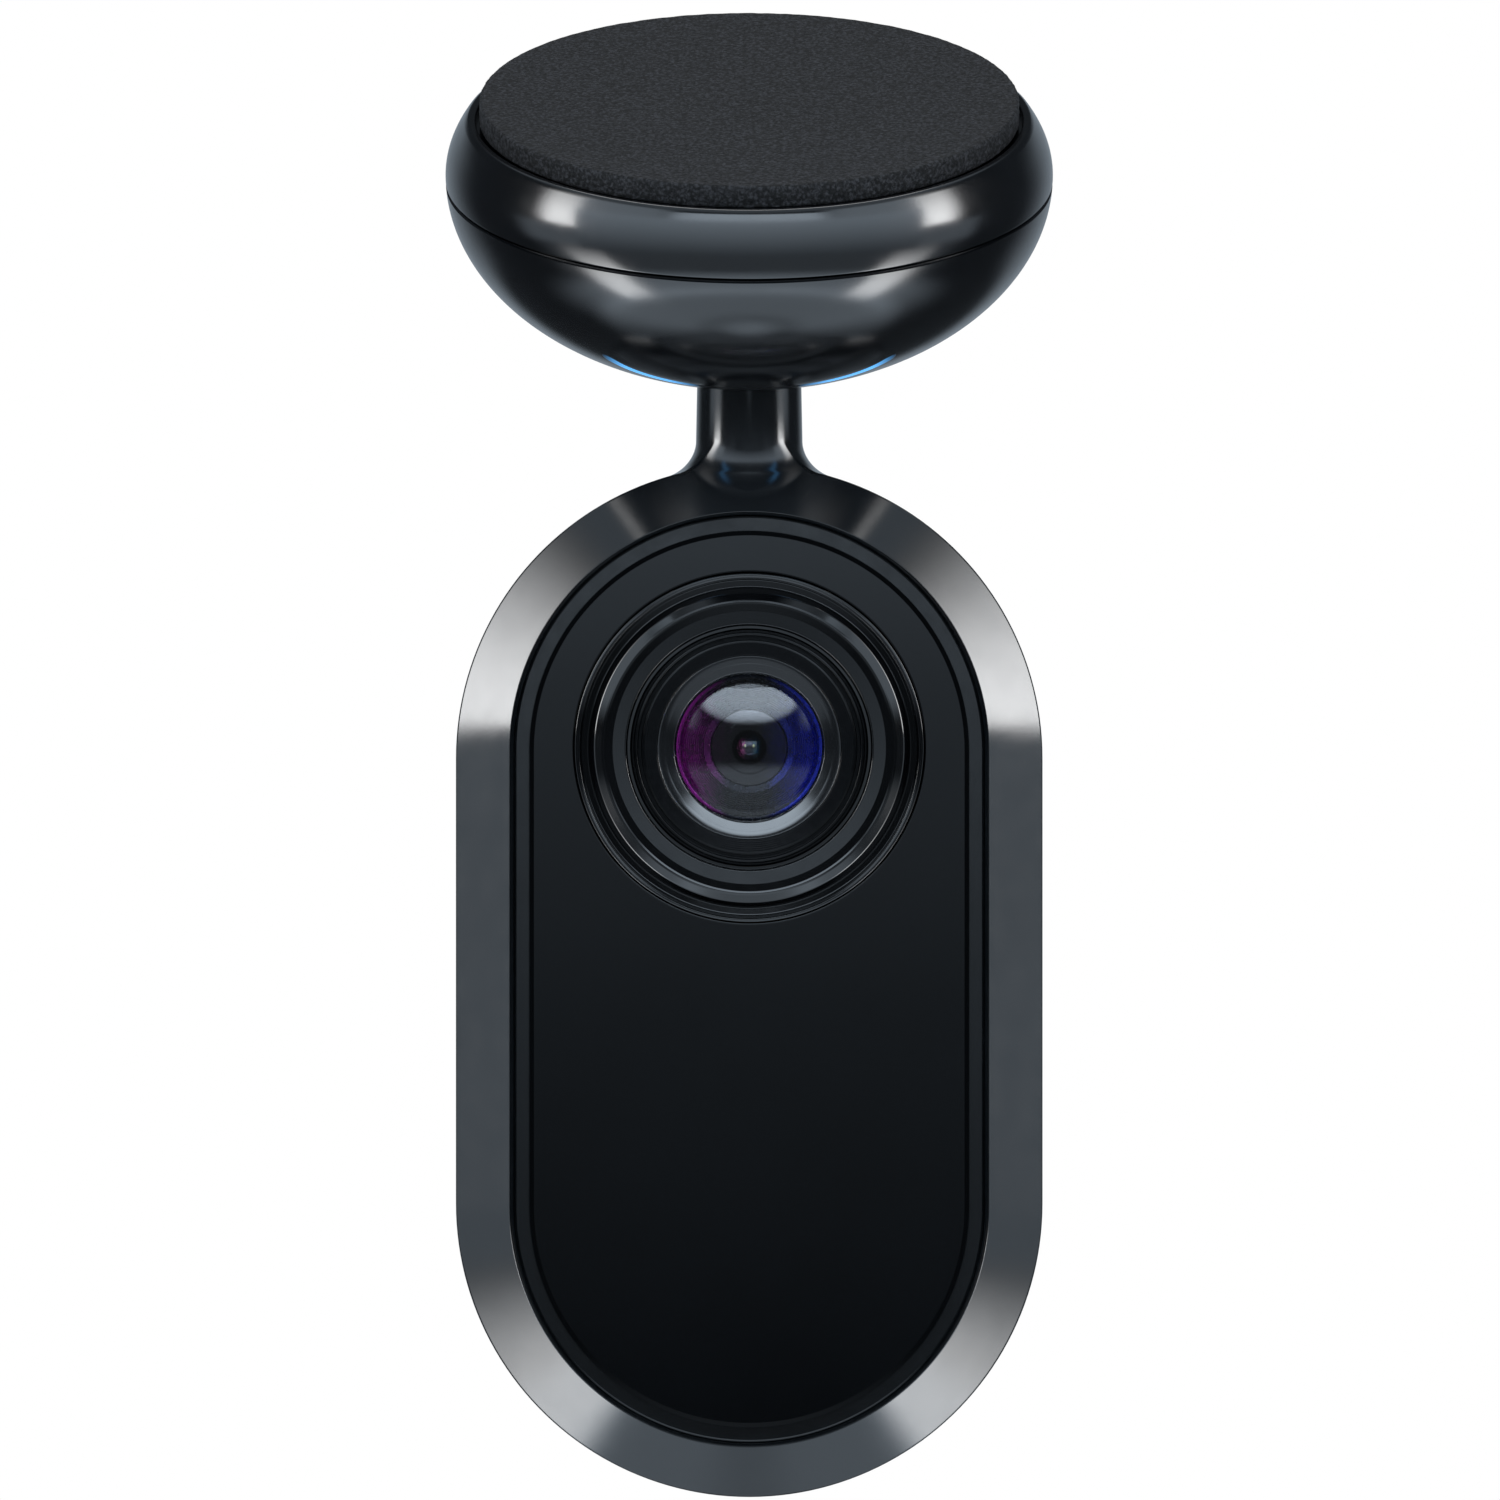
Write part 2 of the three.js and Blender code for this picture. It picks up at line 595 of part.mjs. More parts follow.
const SPEAKER_LOW = BOARD_Y + BOARD_T + 0.1;
camera.add(
  part("body_shell", bodyShell(), "satin"),
  part("rear_cover", rearCover(), "housing"),
  part("window_panel", windowPanel(), "window"),
  part("window_gasket", windowGasket(), "rubber"),
  part("lens_bezel", lensBezel(), "housing"),
  part("lens_front_ring", lensFrontRing(), "ring"),
  part("lens_barrel", lensBarrel(), "ring"),
  part("front_element", element(4.65, -2.2, 1.4, 0.85, 0), "glass"),
  part("light_baffle", baffle(), "ring"),
  part("inner_element", element(3.1, -6.2, 0.5, 0.3, 0.3), "glass"),
  part("rear_element", element(3.1, -7.9, 0.6, 0.3, 0.3), "glass"),
  part("lens_holder", lensHolder(), "chip"),
  part("image_sensor", block(-3.8, 3.8, 1.85, 2.35, LENS_Z - 3.8, LENS_Z + 3.8), "chip"),
  part("sensor_board", block(-7.6, 7.6, 2.45, 3.25, LENS_Z - 7.6, LENS_Z + 7.6), "board"),
  part("sensor_flex_cable", sensorFlex(), "gold"),
  part("main_board", mainBoard(), "board"),
  part("processor", block(-14, -3, 3.1, 4.25, -8, 3), "chip"),
  part("memory_chip", block(-8, 0, 3.2, 4.25, -22, -12), "chip"),
  part("heat_spreader", block(-15, -2, 2.2, 3.0, -10, 5), "alloy"),
  part("battery", block(-9, 9, -5.6, -0.8, -27, -2), "cell"),
  part("speaker", facingFront(cylinder(SPEAKER.r, 0, 7.4 - SPEAKER_LOW, MEDIUM), 0, 7.4, SPEAKER.z), "steel"),
  part("microphone", block(-1.9, 1.9, 3.3, 4.25, -30, -27), "alloy"),
  part("card_socket", cardSocket(), "alloy"),
  part("memory_card", memoryCard(), "chip"),
  part("usb_socket", usbSocket(), "steel"),
  part("record_button", recordButton(), "housing"),
  part("button_switch", tactSwitch(), "chip"),
);
POSTS.forEach(([x, z], i) => camera.add(part(`cover_screw_${i + 1}`, coverScrew(x, z), "steel")));

const dashCamera = new THREE.Group();
dashCamera.add(mount, ball, camera);

export default dashCamera;
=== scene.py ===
"""Looks of the dash camera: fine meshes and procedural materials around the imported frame."""
import json
import math

import bmesh
import bpy
import numpy as np
from mathutils import Matrix, Vector


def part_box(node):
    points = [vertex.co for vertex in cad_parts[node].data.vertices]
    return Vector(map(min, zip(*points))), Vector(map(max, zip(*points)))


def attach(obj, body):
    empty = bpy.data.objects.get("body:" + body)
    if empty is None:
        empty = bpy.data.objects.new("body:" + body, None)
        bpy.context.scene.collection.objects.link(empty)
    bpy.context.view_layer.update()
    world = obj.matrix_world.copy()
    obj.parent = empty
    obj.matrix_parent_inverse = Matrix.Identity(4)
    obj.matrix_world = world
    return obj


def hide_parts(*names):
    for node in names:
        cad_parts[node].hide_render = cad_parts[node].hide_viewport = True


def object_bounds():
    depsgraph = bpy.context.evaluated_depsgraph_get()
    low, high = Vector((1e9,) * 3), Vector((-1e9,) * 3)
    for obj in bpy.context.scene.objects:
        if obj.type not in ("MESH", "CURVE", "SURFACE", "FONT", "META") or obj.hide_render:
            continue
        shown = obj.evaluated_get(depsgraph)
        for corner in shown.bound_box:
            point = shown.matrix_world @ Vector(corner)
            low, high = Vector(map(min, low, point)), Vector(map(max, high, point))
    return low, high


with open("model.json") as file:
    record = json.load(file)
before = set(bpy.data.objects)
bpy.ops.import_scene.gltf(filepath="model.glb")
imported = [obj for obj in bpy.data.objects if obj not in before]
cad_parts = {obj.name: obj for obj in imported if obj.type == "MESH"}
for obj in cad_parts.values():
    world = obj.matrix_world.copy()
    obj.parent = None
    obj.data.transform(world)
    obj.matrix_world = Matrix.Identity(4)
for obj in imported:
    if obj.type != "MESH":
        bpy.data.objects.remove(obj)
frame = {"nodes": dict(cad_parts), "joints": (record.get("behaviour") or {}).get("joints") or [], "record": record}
cad_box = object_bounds()

# ---- places, all read from the frame (metres) and used in millimetres ----
MM = 0.001
JOINTS = {j["name"]: j for j in frame["joints"]}
PAD_NORMAL = Vector(frame["record"]["mounts"][0]["axis"])
DISC_TILT = math.atan2(-PAD_NORMAL.y, PAD_NORMAL.z)
BALL_CENTRE = Vector(JOINTS["ball_tilt"]["pos_m"]) / MM


def box_mm(node):
    low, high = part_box(node)
    return low / MM, high / MM


COVER_LOW, COVER_HIGH = box_mm("rear_cover")
SHELL_LOW, SHELL_HIGH = box_mm("body_shell")
BEZEL_LOW, BEZEL_HIGH = box_mm("lens_bezel")
BODY_Z = (COVER_LOW.z + COVER_HIGH.z) / 2
BODY_FRONT = SHELL_LOW.y
BODY_BACK = COVER_HIGH.y
BODY_R = COVER_HIGH.x
BODY_L = (COVER_HIGH.z - COVER_LOW.z) / 2 - BODY_R
LENS_Z = (BEZEL_LOW.z + BEZEL_HIGH.z) / 2
NECK_Y = BALL_CENTRE.y

MOUNT = Matrix.Rotation(DISC_TILT, 4, "X")
LENS = Matrix.Translation((0, BODY_FRONT, LENS_Z)) @ Matrix.Rotation(math.radians(90), 4, "X")
CAMERA = Matrix.Translation((0, BODY_FRONT, BODY_Z))
BALL = Matrix.Translation(BALL_CENTRE)


# ---- meshes ----
def new_object(name, data):
    """An object for a mesh, a lamp or a camera, linked into the scene."""
    obj = bpy.data.objects.new(name, data)
    bpy.context.scene.collection.objects.link(obj)
    return obj


def fillet_path(corners, steps=6, closed=True, hold=0.06):
    """Points along a polygon whose corners (x, y, radius) are rounded, with a holding point by each arc."""
    count = len(corners)
    points = []
    for i, (x, y, radius) in enumerate(corners):
        here = Vector((x, y))
        if radius == 0 or (not closed and i in (0, count - 1)):
            points.append(here)
            continue
        before = Vector(corners[i - 1][:2]) - here
        after = Vector(corners[(i + 1) % count][:2]) - here
        reach_in, reach_out = before.length, after.length
        before.normalize()
        after.normalize()
        half = before.angle(after) / 2
        cut = min(radius / math.tan(half), 0.49 * reach_in, 0.49 * reach_out)
        real = cut * math.tan(half)
        centre = here + (before + after).normalized() * (real / math.sin(half))
        start = here + before * cut - centre
        turn = (math.pi - 2 * half) * (1 if start.cross(after) > 0 else -1)
        if hold and cut + hold < 0.49 * reach_in:
            points.append(here + before * (cut + hold))
        for k in range(steps + 1):
            spun = start.copy()
            spun.rotate(Matrix.Rotation(turn * k / steps, 2))
            points.append(centre + spun)
        if hold and cut + hold < 0.49 * reach_out:
            points.append(here + after * (cut + hold))
    return [(p.x, p.y) for p in points]


def grid_faces(rows, columns, wrap_rows, wrap_columns):
    """Quads over a rows x columns grid of vertices."""
    faces = []
    for i in range(rows if wrap_rows else rows - 1):
        for j in range(columns if wrap_columns else columns - 1):
            a = i * columns + j
            b = i * columns + (j + 1) % columns
            c = ((i + 1) % rows) * columns + (j + 1) % columns
            d = ((i + 1) % rows) * columns + j
            faces.append((a, b, c, d))
    return faces


def make_object(name, verts, faces, place=Matrix.Identity(4), sharp=32):
    """A mesh in millimetres, placed, scaled to metres, cleaned and turned outward."""
    mesh = bpy.data.meshes.new(name)
    mesh.from_pydata([tuple(v) for v in verts], [], faces)
    work = bmesh.new()
    work.from_mesh(mesh)
    bmesh.ops.remove_doubles(work, verts=work.verts, dist=1e-4)
    bmesh.ops.dissolve_degenerate(work, edges=work.edges, dist=1e-5)
    bmesh.ops.recalc_face_normals(work, faces=work.faces)
    work.to_mesh(mesh)
    work.free()
    mesh.transform(Matrix.Scale(MM, 4) @ place)
    finish_mesh(mesh, sharp)
    return new_object(name, mesh)


def made_of(name, work, place):
    """An object out of a bmesh in millimetres, placed and scaled to metres."""
    mesh = bpy.data.meshes.new(name)
    work.to_mesh(mesh)
    work.free()
    mesh.transform(Matrix.Scale(MM, 4) @ place)
    finish_mesh(mesh)
    return new_object(name, mesh)


def finish_mesh(mesh, sharp=32):
    """Smooth shading that breaks at edges of more than sharp degrees."""
    mesh.shade_smooth()
    mesh.set_sharp_from_angle(angle=math.radians(sharp))


def lathe(name, profile, place, segments, sharp=32):
    """A solid of revolution about the place's Z, out of a closed profile of (radius, height)."""
    points = np.array(profile, float)
    angles = np.arange(segments) * 2 * math.pi / segments
    radius, height = points[:, 0:1], points[:, 1:2]
    x = radius * np.cos(angles)
    y = radius * np.sin(angles)
    z = height + 0 * angles
    verts = np.stack([x, y, z], -1).reshape(-1, 3)
    faces = grid_faces(len(points), segments, True, True)
    return make_object(name, verts, faces, place, sharp)


# The front opening of the body is a little longer than its outline, so the ends taper between the two.
EDGE_R = 15.28
EDGE_L = 14.79
EDGE_RISE = 0.13
CHAMFER = 2.8


def outline_at(share):
    """End radius, half length and rise of the outline: 0 on the side wall, 1 on the front edge."""
    return BODY_R + (EDGE_R - BODY_R) * share, BODY_L + (EDGE_L - BODY_L) * share, EDGE_RISE * share


def stadium_ring(r, arcs):
    """Plan of the body's outline at end radius r, in the XZ plane about its centre."""
    share = min(1.0, (BODY_R - r) / (BODY_R - EDGE_R))
    _, half, rise = outline_at(share)
    points = []
    for end in (0, 1):
        for k in range(arcs + 1):
            turn = math.pi * (end + k / arcs)
            centre = -half if end else half
            points.append((r * math.cos(turn), rise + centre + r * math.sin(turn)))
        top, foot = (half, -half) if end == 0 else (-half, half)
        side = -r if end == 0 else r
        for k in range(1, 6):
            points.append((side, rise + top + (foot - top) * k / 6))
    return points


def stadium_sweep(profile, arcs=90, closed=True, capped=False):
    """Vertices and faces of a band round the outline; the profile lists (end radius, depth)."""
    rings = [[(x, y, z) for x, z in stadium_ring(r, arcs)] for r, y in profile]
    verts = [p for ring in rings for p in ring]
    around = len(rings[0])
    faces = grid_faces(len(rings), around, closed, True)
    if capped:
        faces += [tuple(reversed(range(around))), tuple(range(len(verts) - around, len(verts)))]
    return verts, faces


def cut(obj, *tools):
    """Takes the tools out of obj, and removes them."""
    for tool in tools:
        change = obj.modifiers.new("cut", "BOOLEAN")
        change.operation = "DIFFERENCE"
        change.solver = "EXACT"
        change.object = tool
    bpy.context.view_layer.update()
    depsgraph = bpy.context.evaluated_depsgraph_get()
    mesh = bpy.data.meshes.new_from_object(obj.evaluated_get(depsgraph))
    obj.modifiers.clear()
    obj.data = mesh
    finish_mesh(mesh)
    for tool in tools:
        bpy.data.objects.remove(tool)
    return obj


def joined(name, *objects):
    """One object out of several."""
    work = bmesh.new()
    for obj in objects:
        work.from_mesh(obj.data)
        bpy.data.objects.remove(obj)
    mesh = bpy.data.meshes.new(name)
    work.to_mesh(mesh)
    work.free()
    finish_mesh(mesh)
    return new_object(name, mesh)


def rounded_plate(name, outline, low, high, place, edge=0):
    """A plate out of a closed outline, low to high along Z, with its rims rounded over by edge."""
    work = bmesh.new()
    loop = [work.verts.new((x, y, low)) for x, y in outline]
    base = work.faces.new(loop)
    grown = bmesh.ops.extrude_face_region(work, geom=[base])
    for item in grown["geom"]:
        if isinstance(item, bmesh.types.BMVert):
            item.co.z = high
    bmesh.ops.recalc_face_normals(work, faces=work.faces)
    if edge:
        rims = [e for e in work.edges if abs(e.verts[0].co.z - e.verts[1].co.z) < 1e-6]
        bmesh.ops.bevel(work, geom=rims, offset=edge, segments=3, affect="EDGES", profile=0.5)
    return made_of(name, work, place)


def rounded_rect(w, h, r, steps=8):
    """Outline w wide and h high, about the origin, with corners of radius r."""
    points = []
    across, up = w / 2 - r, h / 2 - r
    for k, (cx, cy) in enumerate([(across, up), (-across, up), (-across, -up), (across, -up)]):
        for i in range(steps + 1):
            turn = math.pi / 2 * (k + i / steps)
            points.append((cx + r * math.cos(turn), cy + r * math.sin(turn)))
    return points


def circle(radius, steps, up):
    """A circle in the XZ plane whose centre stands at height up."""
    turns = [2 * math.pi * k / steps for k in range(steps)]
    return [(radius * math.cos(t), up + radius * math.sin(t)) for t in turns]


def settle(obj, body, material, slot, *nodes):
    """Gives a piece its material and its body, and hides the nodes that it stands for; slot, the record's finish,
    is not used.
    """
    obj.data.materials.clear()
    obj.data.materials.append(material)
    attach(obj, body)
    if nodes:
        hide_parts(*nodes)


# ---- materials ----
class Nodes:
    """Short hands for building a node tree."""

    def __init__(self, tree):
        self.tree = tree

    def node(self, kind, **settings):
        """A new node; each setting is one of its properties or the value of one of its inputs."""
        made = self.tree.nodes.new(kind)
        for key, value in settings.items():
            if hasattr(made, key):
                setattr(made, key, value)
            else:
                made.inputs[key.replace("_", " ")].default_value = value
        return made

    def link(self, source, target):
        self.tree.links.new(source, target)

    def math(self, operation, first, second=None):
        """A calculation on sockets or plain numbers."""
        made = self.node("ShaderNodeMath", operation=operation)
        for socket, value in zip(made.inputs, (first, second)):
            if isinstance(value, float):
                socket.default_value = value
            elif value is not None:
                self.link(value, socket)
        return made.outputs["Value"]

    def split(self, vector):
        """The X, Y and Z of a vector."""
        made = self.node("ShaderNodeSeparateXYZ")
        self.link(vector, made.inputs["Vector"])
        return made.outputs


class Shader(Nodes):
    """One material, in millimetres."""

    def __init__(self, name):
        self.material = bpy.data.materials.new(name)
        self.material.use_nodes = True
        super().__init__(self.material.node_tree)
        self.bsdf = self.tree.nodes["Principled BSDF"]
        self.coordinates = self.node("ShaderNodeTexCoord").outputs["Object"]

    def set(self, **values):
        for key, value in values.items():
            self.bsdf.inputs[key.replace("_", " ")].default_value = value

    def texture(self, kind, scale, stretch=(1, 1, 1), **settings):
        """A texture node with about scale cells to the millimetre."""
        mapping = self.node("ShaderNodeMapping")
        mapping.inputs["Scale"].default_value = [1000 * scale * s for s in stretch]
        self.link(self.coordinates, mapping.inputs["Vector"])
        made = self.node(kind, Scale=1.0, **settings)
        self.link(mapping.outputs["Vector"], made.inputs["Vector"])
        return made

    def noise(self, scale, detail=3.0, roughness=0.55, stretch=(1, 1, 1)):
        made = self.texture("ShaderNodeTexNoise", scale, stretch, Detail=detail, Roughness=roughness)
        return made.outputs["Fac"]

    def cells(self, scale):
        """Distance to the nearest of scattered points."""
        return self.texture("ShaderNodeTexVoronoi", scale).outputs["Distance"]

    def span(self, value, low, high, out_low=0, out_high=1):
        """Carries low..high of value to out_low..out_high."""
        made = self.node("ShaderNodeMapRange", From_Min=low, From_Max=high, To_Min=out_low, To_Max=out_high)
        self.link(value, made.inputs["Value"])
        return made.outputs["Result"]

    def blend(self, factor, first, second):
        made = self.node("ShaderNodeMix", data_type="RGBA")
        self.link(factor, made.inputs[0])
        made.inputs[6].default_value = (*first, 1)
        made.inputs[7].default_value = (*second, 1)
        return made.outputs[2]

    def bump(self, height, depth_mm, strength=1.0, after=None):
        made = self.node("ShaderNodeBump", Strength=strength, Distance=depth_mm * MM)
        self.link(height, made.inputs["Height"])
        if after is not None:
            self.link(after, made.inputs["Normal"])
        return made.outputs["Normal"]

    def use(self, **sockets):
        for key, source in sockets.items():
            self.link(source, self.bsdf.inputs[key.replace("_", " ")])


def moulded(name, dark, light, rough, spread, grain=0.0015, grain_scale=4.0, ior=1.5):
    """Smooth moulded or lacquered plastic: faint tone drift, uneven gloss and a very shallow skin."""
    s = Shader(name)
    s.set(IOR=ior)
    tone = s.blend(s.span(s.noise(0.12, 2), 0.35, 0.65), dark, light)
    gloss = s.span(s.noise(0.6, 5), 0.3, 0.7, rough - spread, rough + spread)
    skin = s.bump(s.noise(grain_scale, 4), grain)
    s.use(Base_Color=tone, Roughness=gloss, Normal=skin)
    return s.material


def foam(name):
    """Closed-cell foam tape: a fine speckle of glinting cell walls over black pits."""
    s = Shader(name)
    s.set(Sheen_Weight=0.02, Sheen_Roughness=0.5, Specular_IOR_Level=0.3)
    speck = s.noise(4.6, 3, 0.75)
    pits = s.cells(3.4)
    cells = s.math("SUBTRACT", speck, s.span(pits, 0, 1, 0.0, 0.3))
    tone = s.blend(s.span(cells, 0.3, 0.5), (0.0006, 0.0008, 0.0012), (0.028, 0.029, 0.034))
    first = s.bump(pits, 0.05)
    s.use(Base_Color=tone, Normal=s.bump(speck, 0.09, 1.0, first),
          Roughness=s.span(speck, 0.3, 0.7, 0.8, 0.55))
    return s.material


def grained(name, dark, light, rough, scale=2.2, depth=0.02):
    """Spark-eroded matt plastic."""
    s = Shader(name)
    s.set(Specular_IOR_Level=0.4)
    grain = s.noise(scale, 4, 0.6)
    pits = s.cells(scale * 0.8)
    tone = s.blend(s.span(grain, 0.35, 0.65), dark, light)
    first = s.bump(grain, depth)
    s.use(Base_Color=tone, Normal=s.bump(pits, depth * 0.6, 0.7, first),
          Roughness=s.span(grain, 0.3, 0.7, rough - 0.08, rough + 0.08))
    return s.material


def brushed(name, dark, light, rough, stretch):
    """Metal with fine lines along one way."""
    s = Shader(name)
    s.set(Metallic=1.0)
    lines = s.noise(6, 4, 0.6, stretch)
    tone = s.blend(s.span(lines, 0.3, 0.7), dark, light)
    s.use(Base_Color=tone, Roughness=s.span(lines, 0.3, 0.7, rough - 0.07, rough + 0.1),
          Normal=s.bump(lines, 0.002))
    return s.material


def turned(name, centre, tone, rough, pitch=0.13, depth=0.002):
    """Matt black metal with fine rings turned about the lens axis, pitch and depth in millimetres."""
    s = Shader(name)
    s.set(Specular_IOR_Level=0.3)
    offset = s.node("ShaderNodeVectorMath", operation="SUBTRACT")
    offset.inputs[1].default_value = centre
    s.link(s.coordinates, offset.inputs[0])
    flat = s.node("ShaderNodeVectorMath", operation="MULTIPLY")
    flat.inputs[1].default_value = (1, 0, 1)
    s.link(offset.outputs["Vector"], flat.inputs[0])
    length = s.node("ShaderNodeVectorMath", operation="LENGTH")
    s.link(flat.outputs["Vector"], length.inputs[0])
    waves = s.math("SINE", s.math("MULTIPLY", length.outputs["Value"], 2 * math.pi / (pitch * MM)))
    speck = s.noise(3, 4)
    colour = s.blend(s.span(speck, 0.3, 0.7), tuple(0.7 * c for c in tone), tone)
    s.use(Base_Color=colour, Normal=s.bump(waves, depth),
          Roughness=s.span(speck, 0.3, 0.7, rough - 0.06, rough + 0.06))
    return s.material


def board(name):
    """Green solder mask over a faint weave, with copper tracks as a slightly lighter pattern."""
    s = Shader(name)
    tracks = s.node("ShaderNodeTexBrick", Scale=900.0, Mortar_Size=0.03)
    s.link(s.coordinates, tracks.inputs["Vector"])
    tone = s.blend(tracks.outputs["Fac"], (0.006, 0.045, 0.02), (0.012, 0.09, 0.04))
    s.use(Base_Color=tone, Normal=s.bump(tracks.outputs["Fac"], 0.02),
          Roughness=s.span(s.noise(2), 0.3, 0.7, 0.3, 0.45))
    return s.material


def painted_hue_coating(name, rough, ior, metallic, hue_width, painted_hues):
    """Dark coated surface with painted reflection colour: its colour runs from one hue on one side of the lens to
    another on the other side, standing in for the tinted reflections of a lens coating.
    """
    s = Shader(name)
    s.set(IOR=ior, Metallic=metallic)
    ramp = s.node("ShaderNodeValToRGB")
    ramp.color_ramp.interpolation = "EASE"
    ramp.color_ramp.elements.new(0.36)
    ramp.color_ramp.elements.new(0.6)
    for element, hue in zip(ramp.color_ramp.elements, (painted_hues[0], painted_hues[1], painted_hues[1], painted_hues[2])):
        element.color = (*hue, 1)
    # Painted reflection colour: the hue is chosen by the place across the lens, from left to right.
    across = s.split(s.coordinates)["X"]
    s.link(s.span(across, -hue_width * MM, hue_width * MM), ramp.inputs["Fac"])
    gloss = s.span(s.noise(2, 3), 0.3, 0.7, rough * 0.8, rough * 1.2)
    s.use(Base_Color=ramp.outputs["Color"], Roughness=gloss)
    return s.material


def coated_glass(name, tint, rough=0.02):
    """Clear optical glass."""
    s = Shader(name)
    s.set(Transmission_Weight=1.0, IOR=1.6)
    drift = s.noise(0.25, 2)
    s.use(Base_Color=s.blend(s.span(drift, 0.3, 0.7), tint, tuple(0.93 * c for c in tint)),
          Roughness=s.span(s.noise(1.5, 3), 0.35, 0.7, rough * 0.5, rough * 1.5))
    return s.material


def lit(name, half_span):
    """Blue-lit light guide: a lamp feeds each half, so it dies away towards its tips and its middle."""
    s = Shader(name)
    s.set(Emission_Color=(0.1, 0.38, 0.8, 1), Roughness=0.35)
    side = s.math("ABSOLUTE", s.split(s.coordinates)["X"])
    tip = s.span(side, half_span * MM, 0.84 * half_span * MM, 0.0, 1.5)
    middle = s.span(side, 3.2 * MM, 5.2 * MM, 0.0, 1.0)
    drift = s.span(s.noise(1.2, 2), 0.3, 0.7)
    tone = s.blend(drift, (0.003, 0.004, 0.006), (0.004, 0.006, 0.009))
    s.use(Base_Color=tone, Emission_Strength=s.math("MULTIPLY", tip, middle))
    return s.material


LIGHT_SPAN = 9.5                # half the length of the status light
INK = (0.0012, 0.0016, 0.0024)
INK_LIGHT = (0.0022, 0.0028, 0.004)
PIANO = moulded("piano_black", INK, INK_LIGHT, 0.17, 0.02, ior=1.8)
LACQUER = moulded("gunmetal_lacquer", (0.004, 0.0054, 0.007), (0.0055, 0.0072, 0.009), 0.14, 0.02,
                  grain=0.0008, ior=1.75)
PANEL = moulded("polished_panel", (0.0005, 0.0007, 0.0011), (0.0008, 0.0011, 0.0016), 0.05, 0.01,
                grain=0.0002)
FUNNEL = moulded("anodised_funnel", INK, INK_LIGHT, 0.16, 0.03, grain=0.0005, ior=2.1)
BEZEL = moulded("bezel_black", (0.0008, 0.001, 0.0014), (0.0014, 0.0017, 0.0023), 0.09, 0.02,
                grain=0.0004, ior=1.65)
FOAM = foam("black_foam")
GRAIN = grained("grained_black", (0.012, 0.014, 0.017), (0.02, 0.023, 0.027), 0.5)
LENS_AT = (0, 0, LENS_Z * MM)
MATT_RING = turned("turned_black", LENS_AT, (0.0015, 0.002, 0.0028), 0.2)
# Painted reflection colour: the ribbed baffle and the inner elements are magenta on the left and blue or teal on
# the right in their own colour, and the glint beads are bright painted glints.
RIBBED_PAINTED_HUES = painted_hue_coating("ribbed_baffle", 0.28, 1.5, metallic=0.8, hue_width=4.3,
                 painted_hues=((0.42, 0.03, 0.36), (0.012, 0.014, 0.02), (0.035, 0.055, 0.6)))
INNER_PAINTED_HUES = painted_hue_coating("inner_coating", 0.07, 2.1, metallic=0.0, hue_width=2.3,
                     painted_hues=((0.02, 0.001, 0.016), (0.0004, 0.0004, 0.001), (0.002, 0.003, 0.07)))
JEWEL_PAINTED_HUES = painted_hue_coating("jewel_coating", 0.1, 2.2, metallic=0.85, hue_width=0.5,
                     painted_hues=((0.55, 0.07, 0.3), (0.02, 0.02, 0.04), (0.03, 0.16, 0.22)))
GLINT = painted_hue_coating("glint_coating", 0.12, 2.2, metallic=0.9, hue_width=0.5,
                painted_hues=((0.8, 0.75, 0.55), (0.75, 0.72, 0.4), (0.6, 0.7, 0.35)))
FRONT_GLASS = coated_glass("front_glass", (0.97, 0.97, 1.0))
INNER_GLASS = coated_glass("inner_glass", (0.6, 0.62, 0.95))
LIT = lit("lit_blue", LIGHT_SPAN)
STEEL = brushed("zinc_steel", (0.32, 0.33, 0.34), (0.52, 0.53, 0.55), 0.34, (1, 1, 0.2))
ALLOY = brushed("pressed_alloy", (0.5, 0.51, 0.53), (0.68, 0.69, 0.71), 0.4, (1, 0.2, 1))
GOLD = brushed("gold_contacts", (0.6, 0.4, 0.13), (0.8, 0.58, 0.22), 0.28, (1, 1, 0.3))
NYLON = grained("natural_nylon", (0.42, 0.4, 0.35), (0.55, 0.53, 0.47), 0.5, depth=0.01)
GASKET = grained("gasket_rubber", (0.008, 0.008, 0.009), (0.016, 0.016, 0.017), 0.75, scale=3)
BOARD = board("circuit_board")
EPOXY = grained("moulded_epoxy", (0.009, 0.009, 0.01), (0.018, 0.018, 0.019), 0.55, scale=3.5,
                depth=0.008)
POUCH = moulded("foil_pouch", (0.17, 0.2, 0.24), (0.24, 0.28, 0.33), 0.38, 0.08, grain=0.02,
                grain_scale=0.8)
FLEX = moulded("polyimide", (0.42, 0.2, 0.025), (0.55, 0.28, 0.05), 0.35, 0.05, grain=0.004)

CAD_FINISH = {
    "pad_foam": FOAM, "gloss_housing": PIANO, "body_finish": LACQUER, "rear_plastic": GRAIN,
    "window_gloss": PANEL, "light_guide": LIT, "lens_black": MATT_RING, "lens_glass": INNER_GLASS,
    "nylon": NYLON, "steel": STEEL, "alloy": ALLOY, "rubber": GASKET, "circuit_board": BOARD,
    "chip_black": EPOXY, "cell_wrap": POUCH, "flex_amber": FLEX,
}
for row in frame["record"]["subparts"]:
    node = frame["nodes"][row["node"]]
    node.data.materials.clear()
    node.data.materials.append(CAD_FINISH[row["material_slot"]])

# ---- mount ----
DISC_R = 19.68
EQUATOR_Z = -5.19
DOME_UP = 10.3
DOME_DOWN = 13.16
SEAM_TOP = -5.6
SEAM_LOW = -5.74
WALL = 1.4
PAD_R = 17.5
PAD_T = 1.5
OPENING_R = 7.6
LIP_H = 3.62


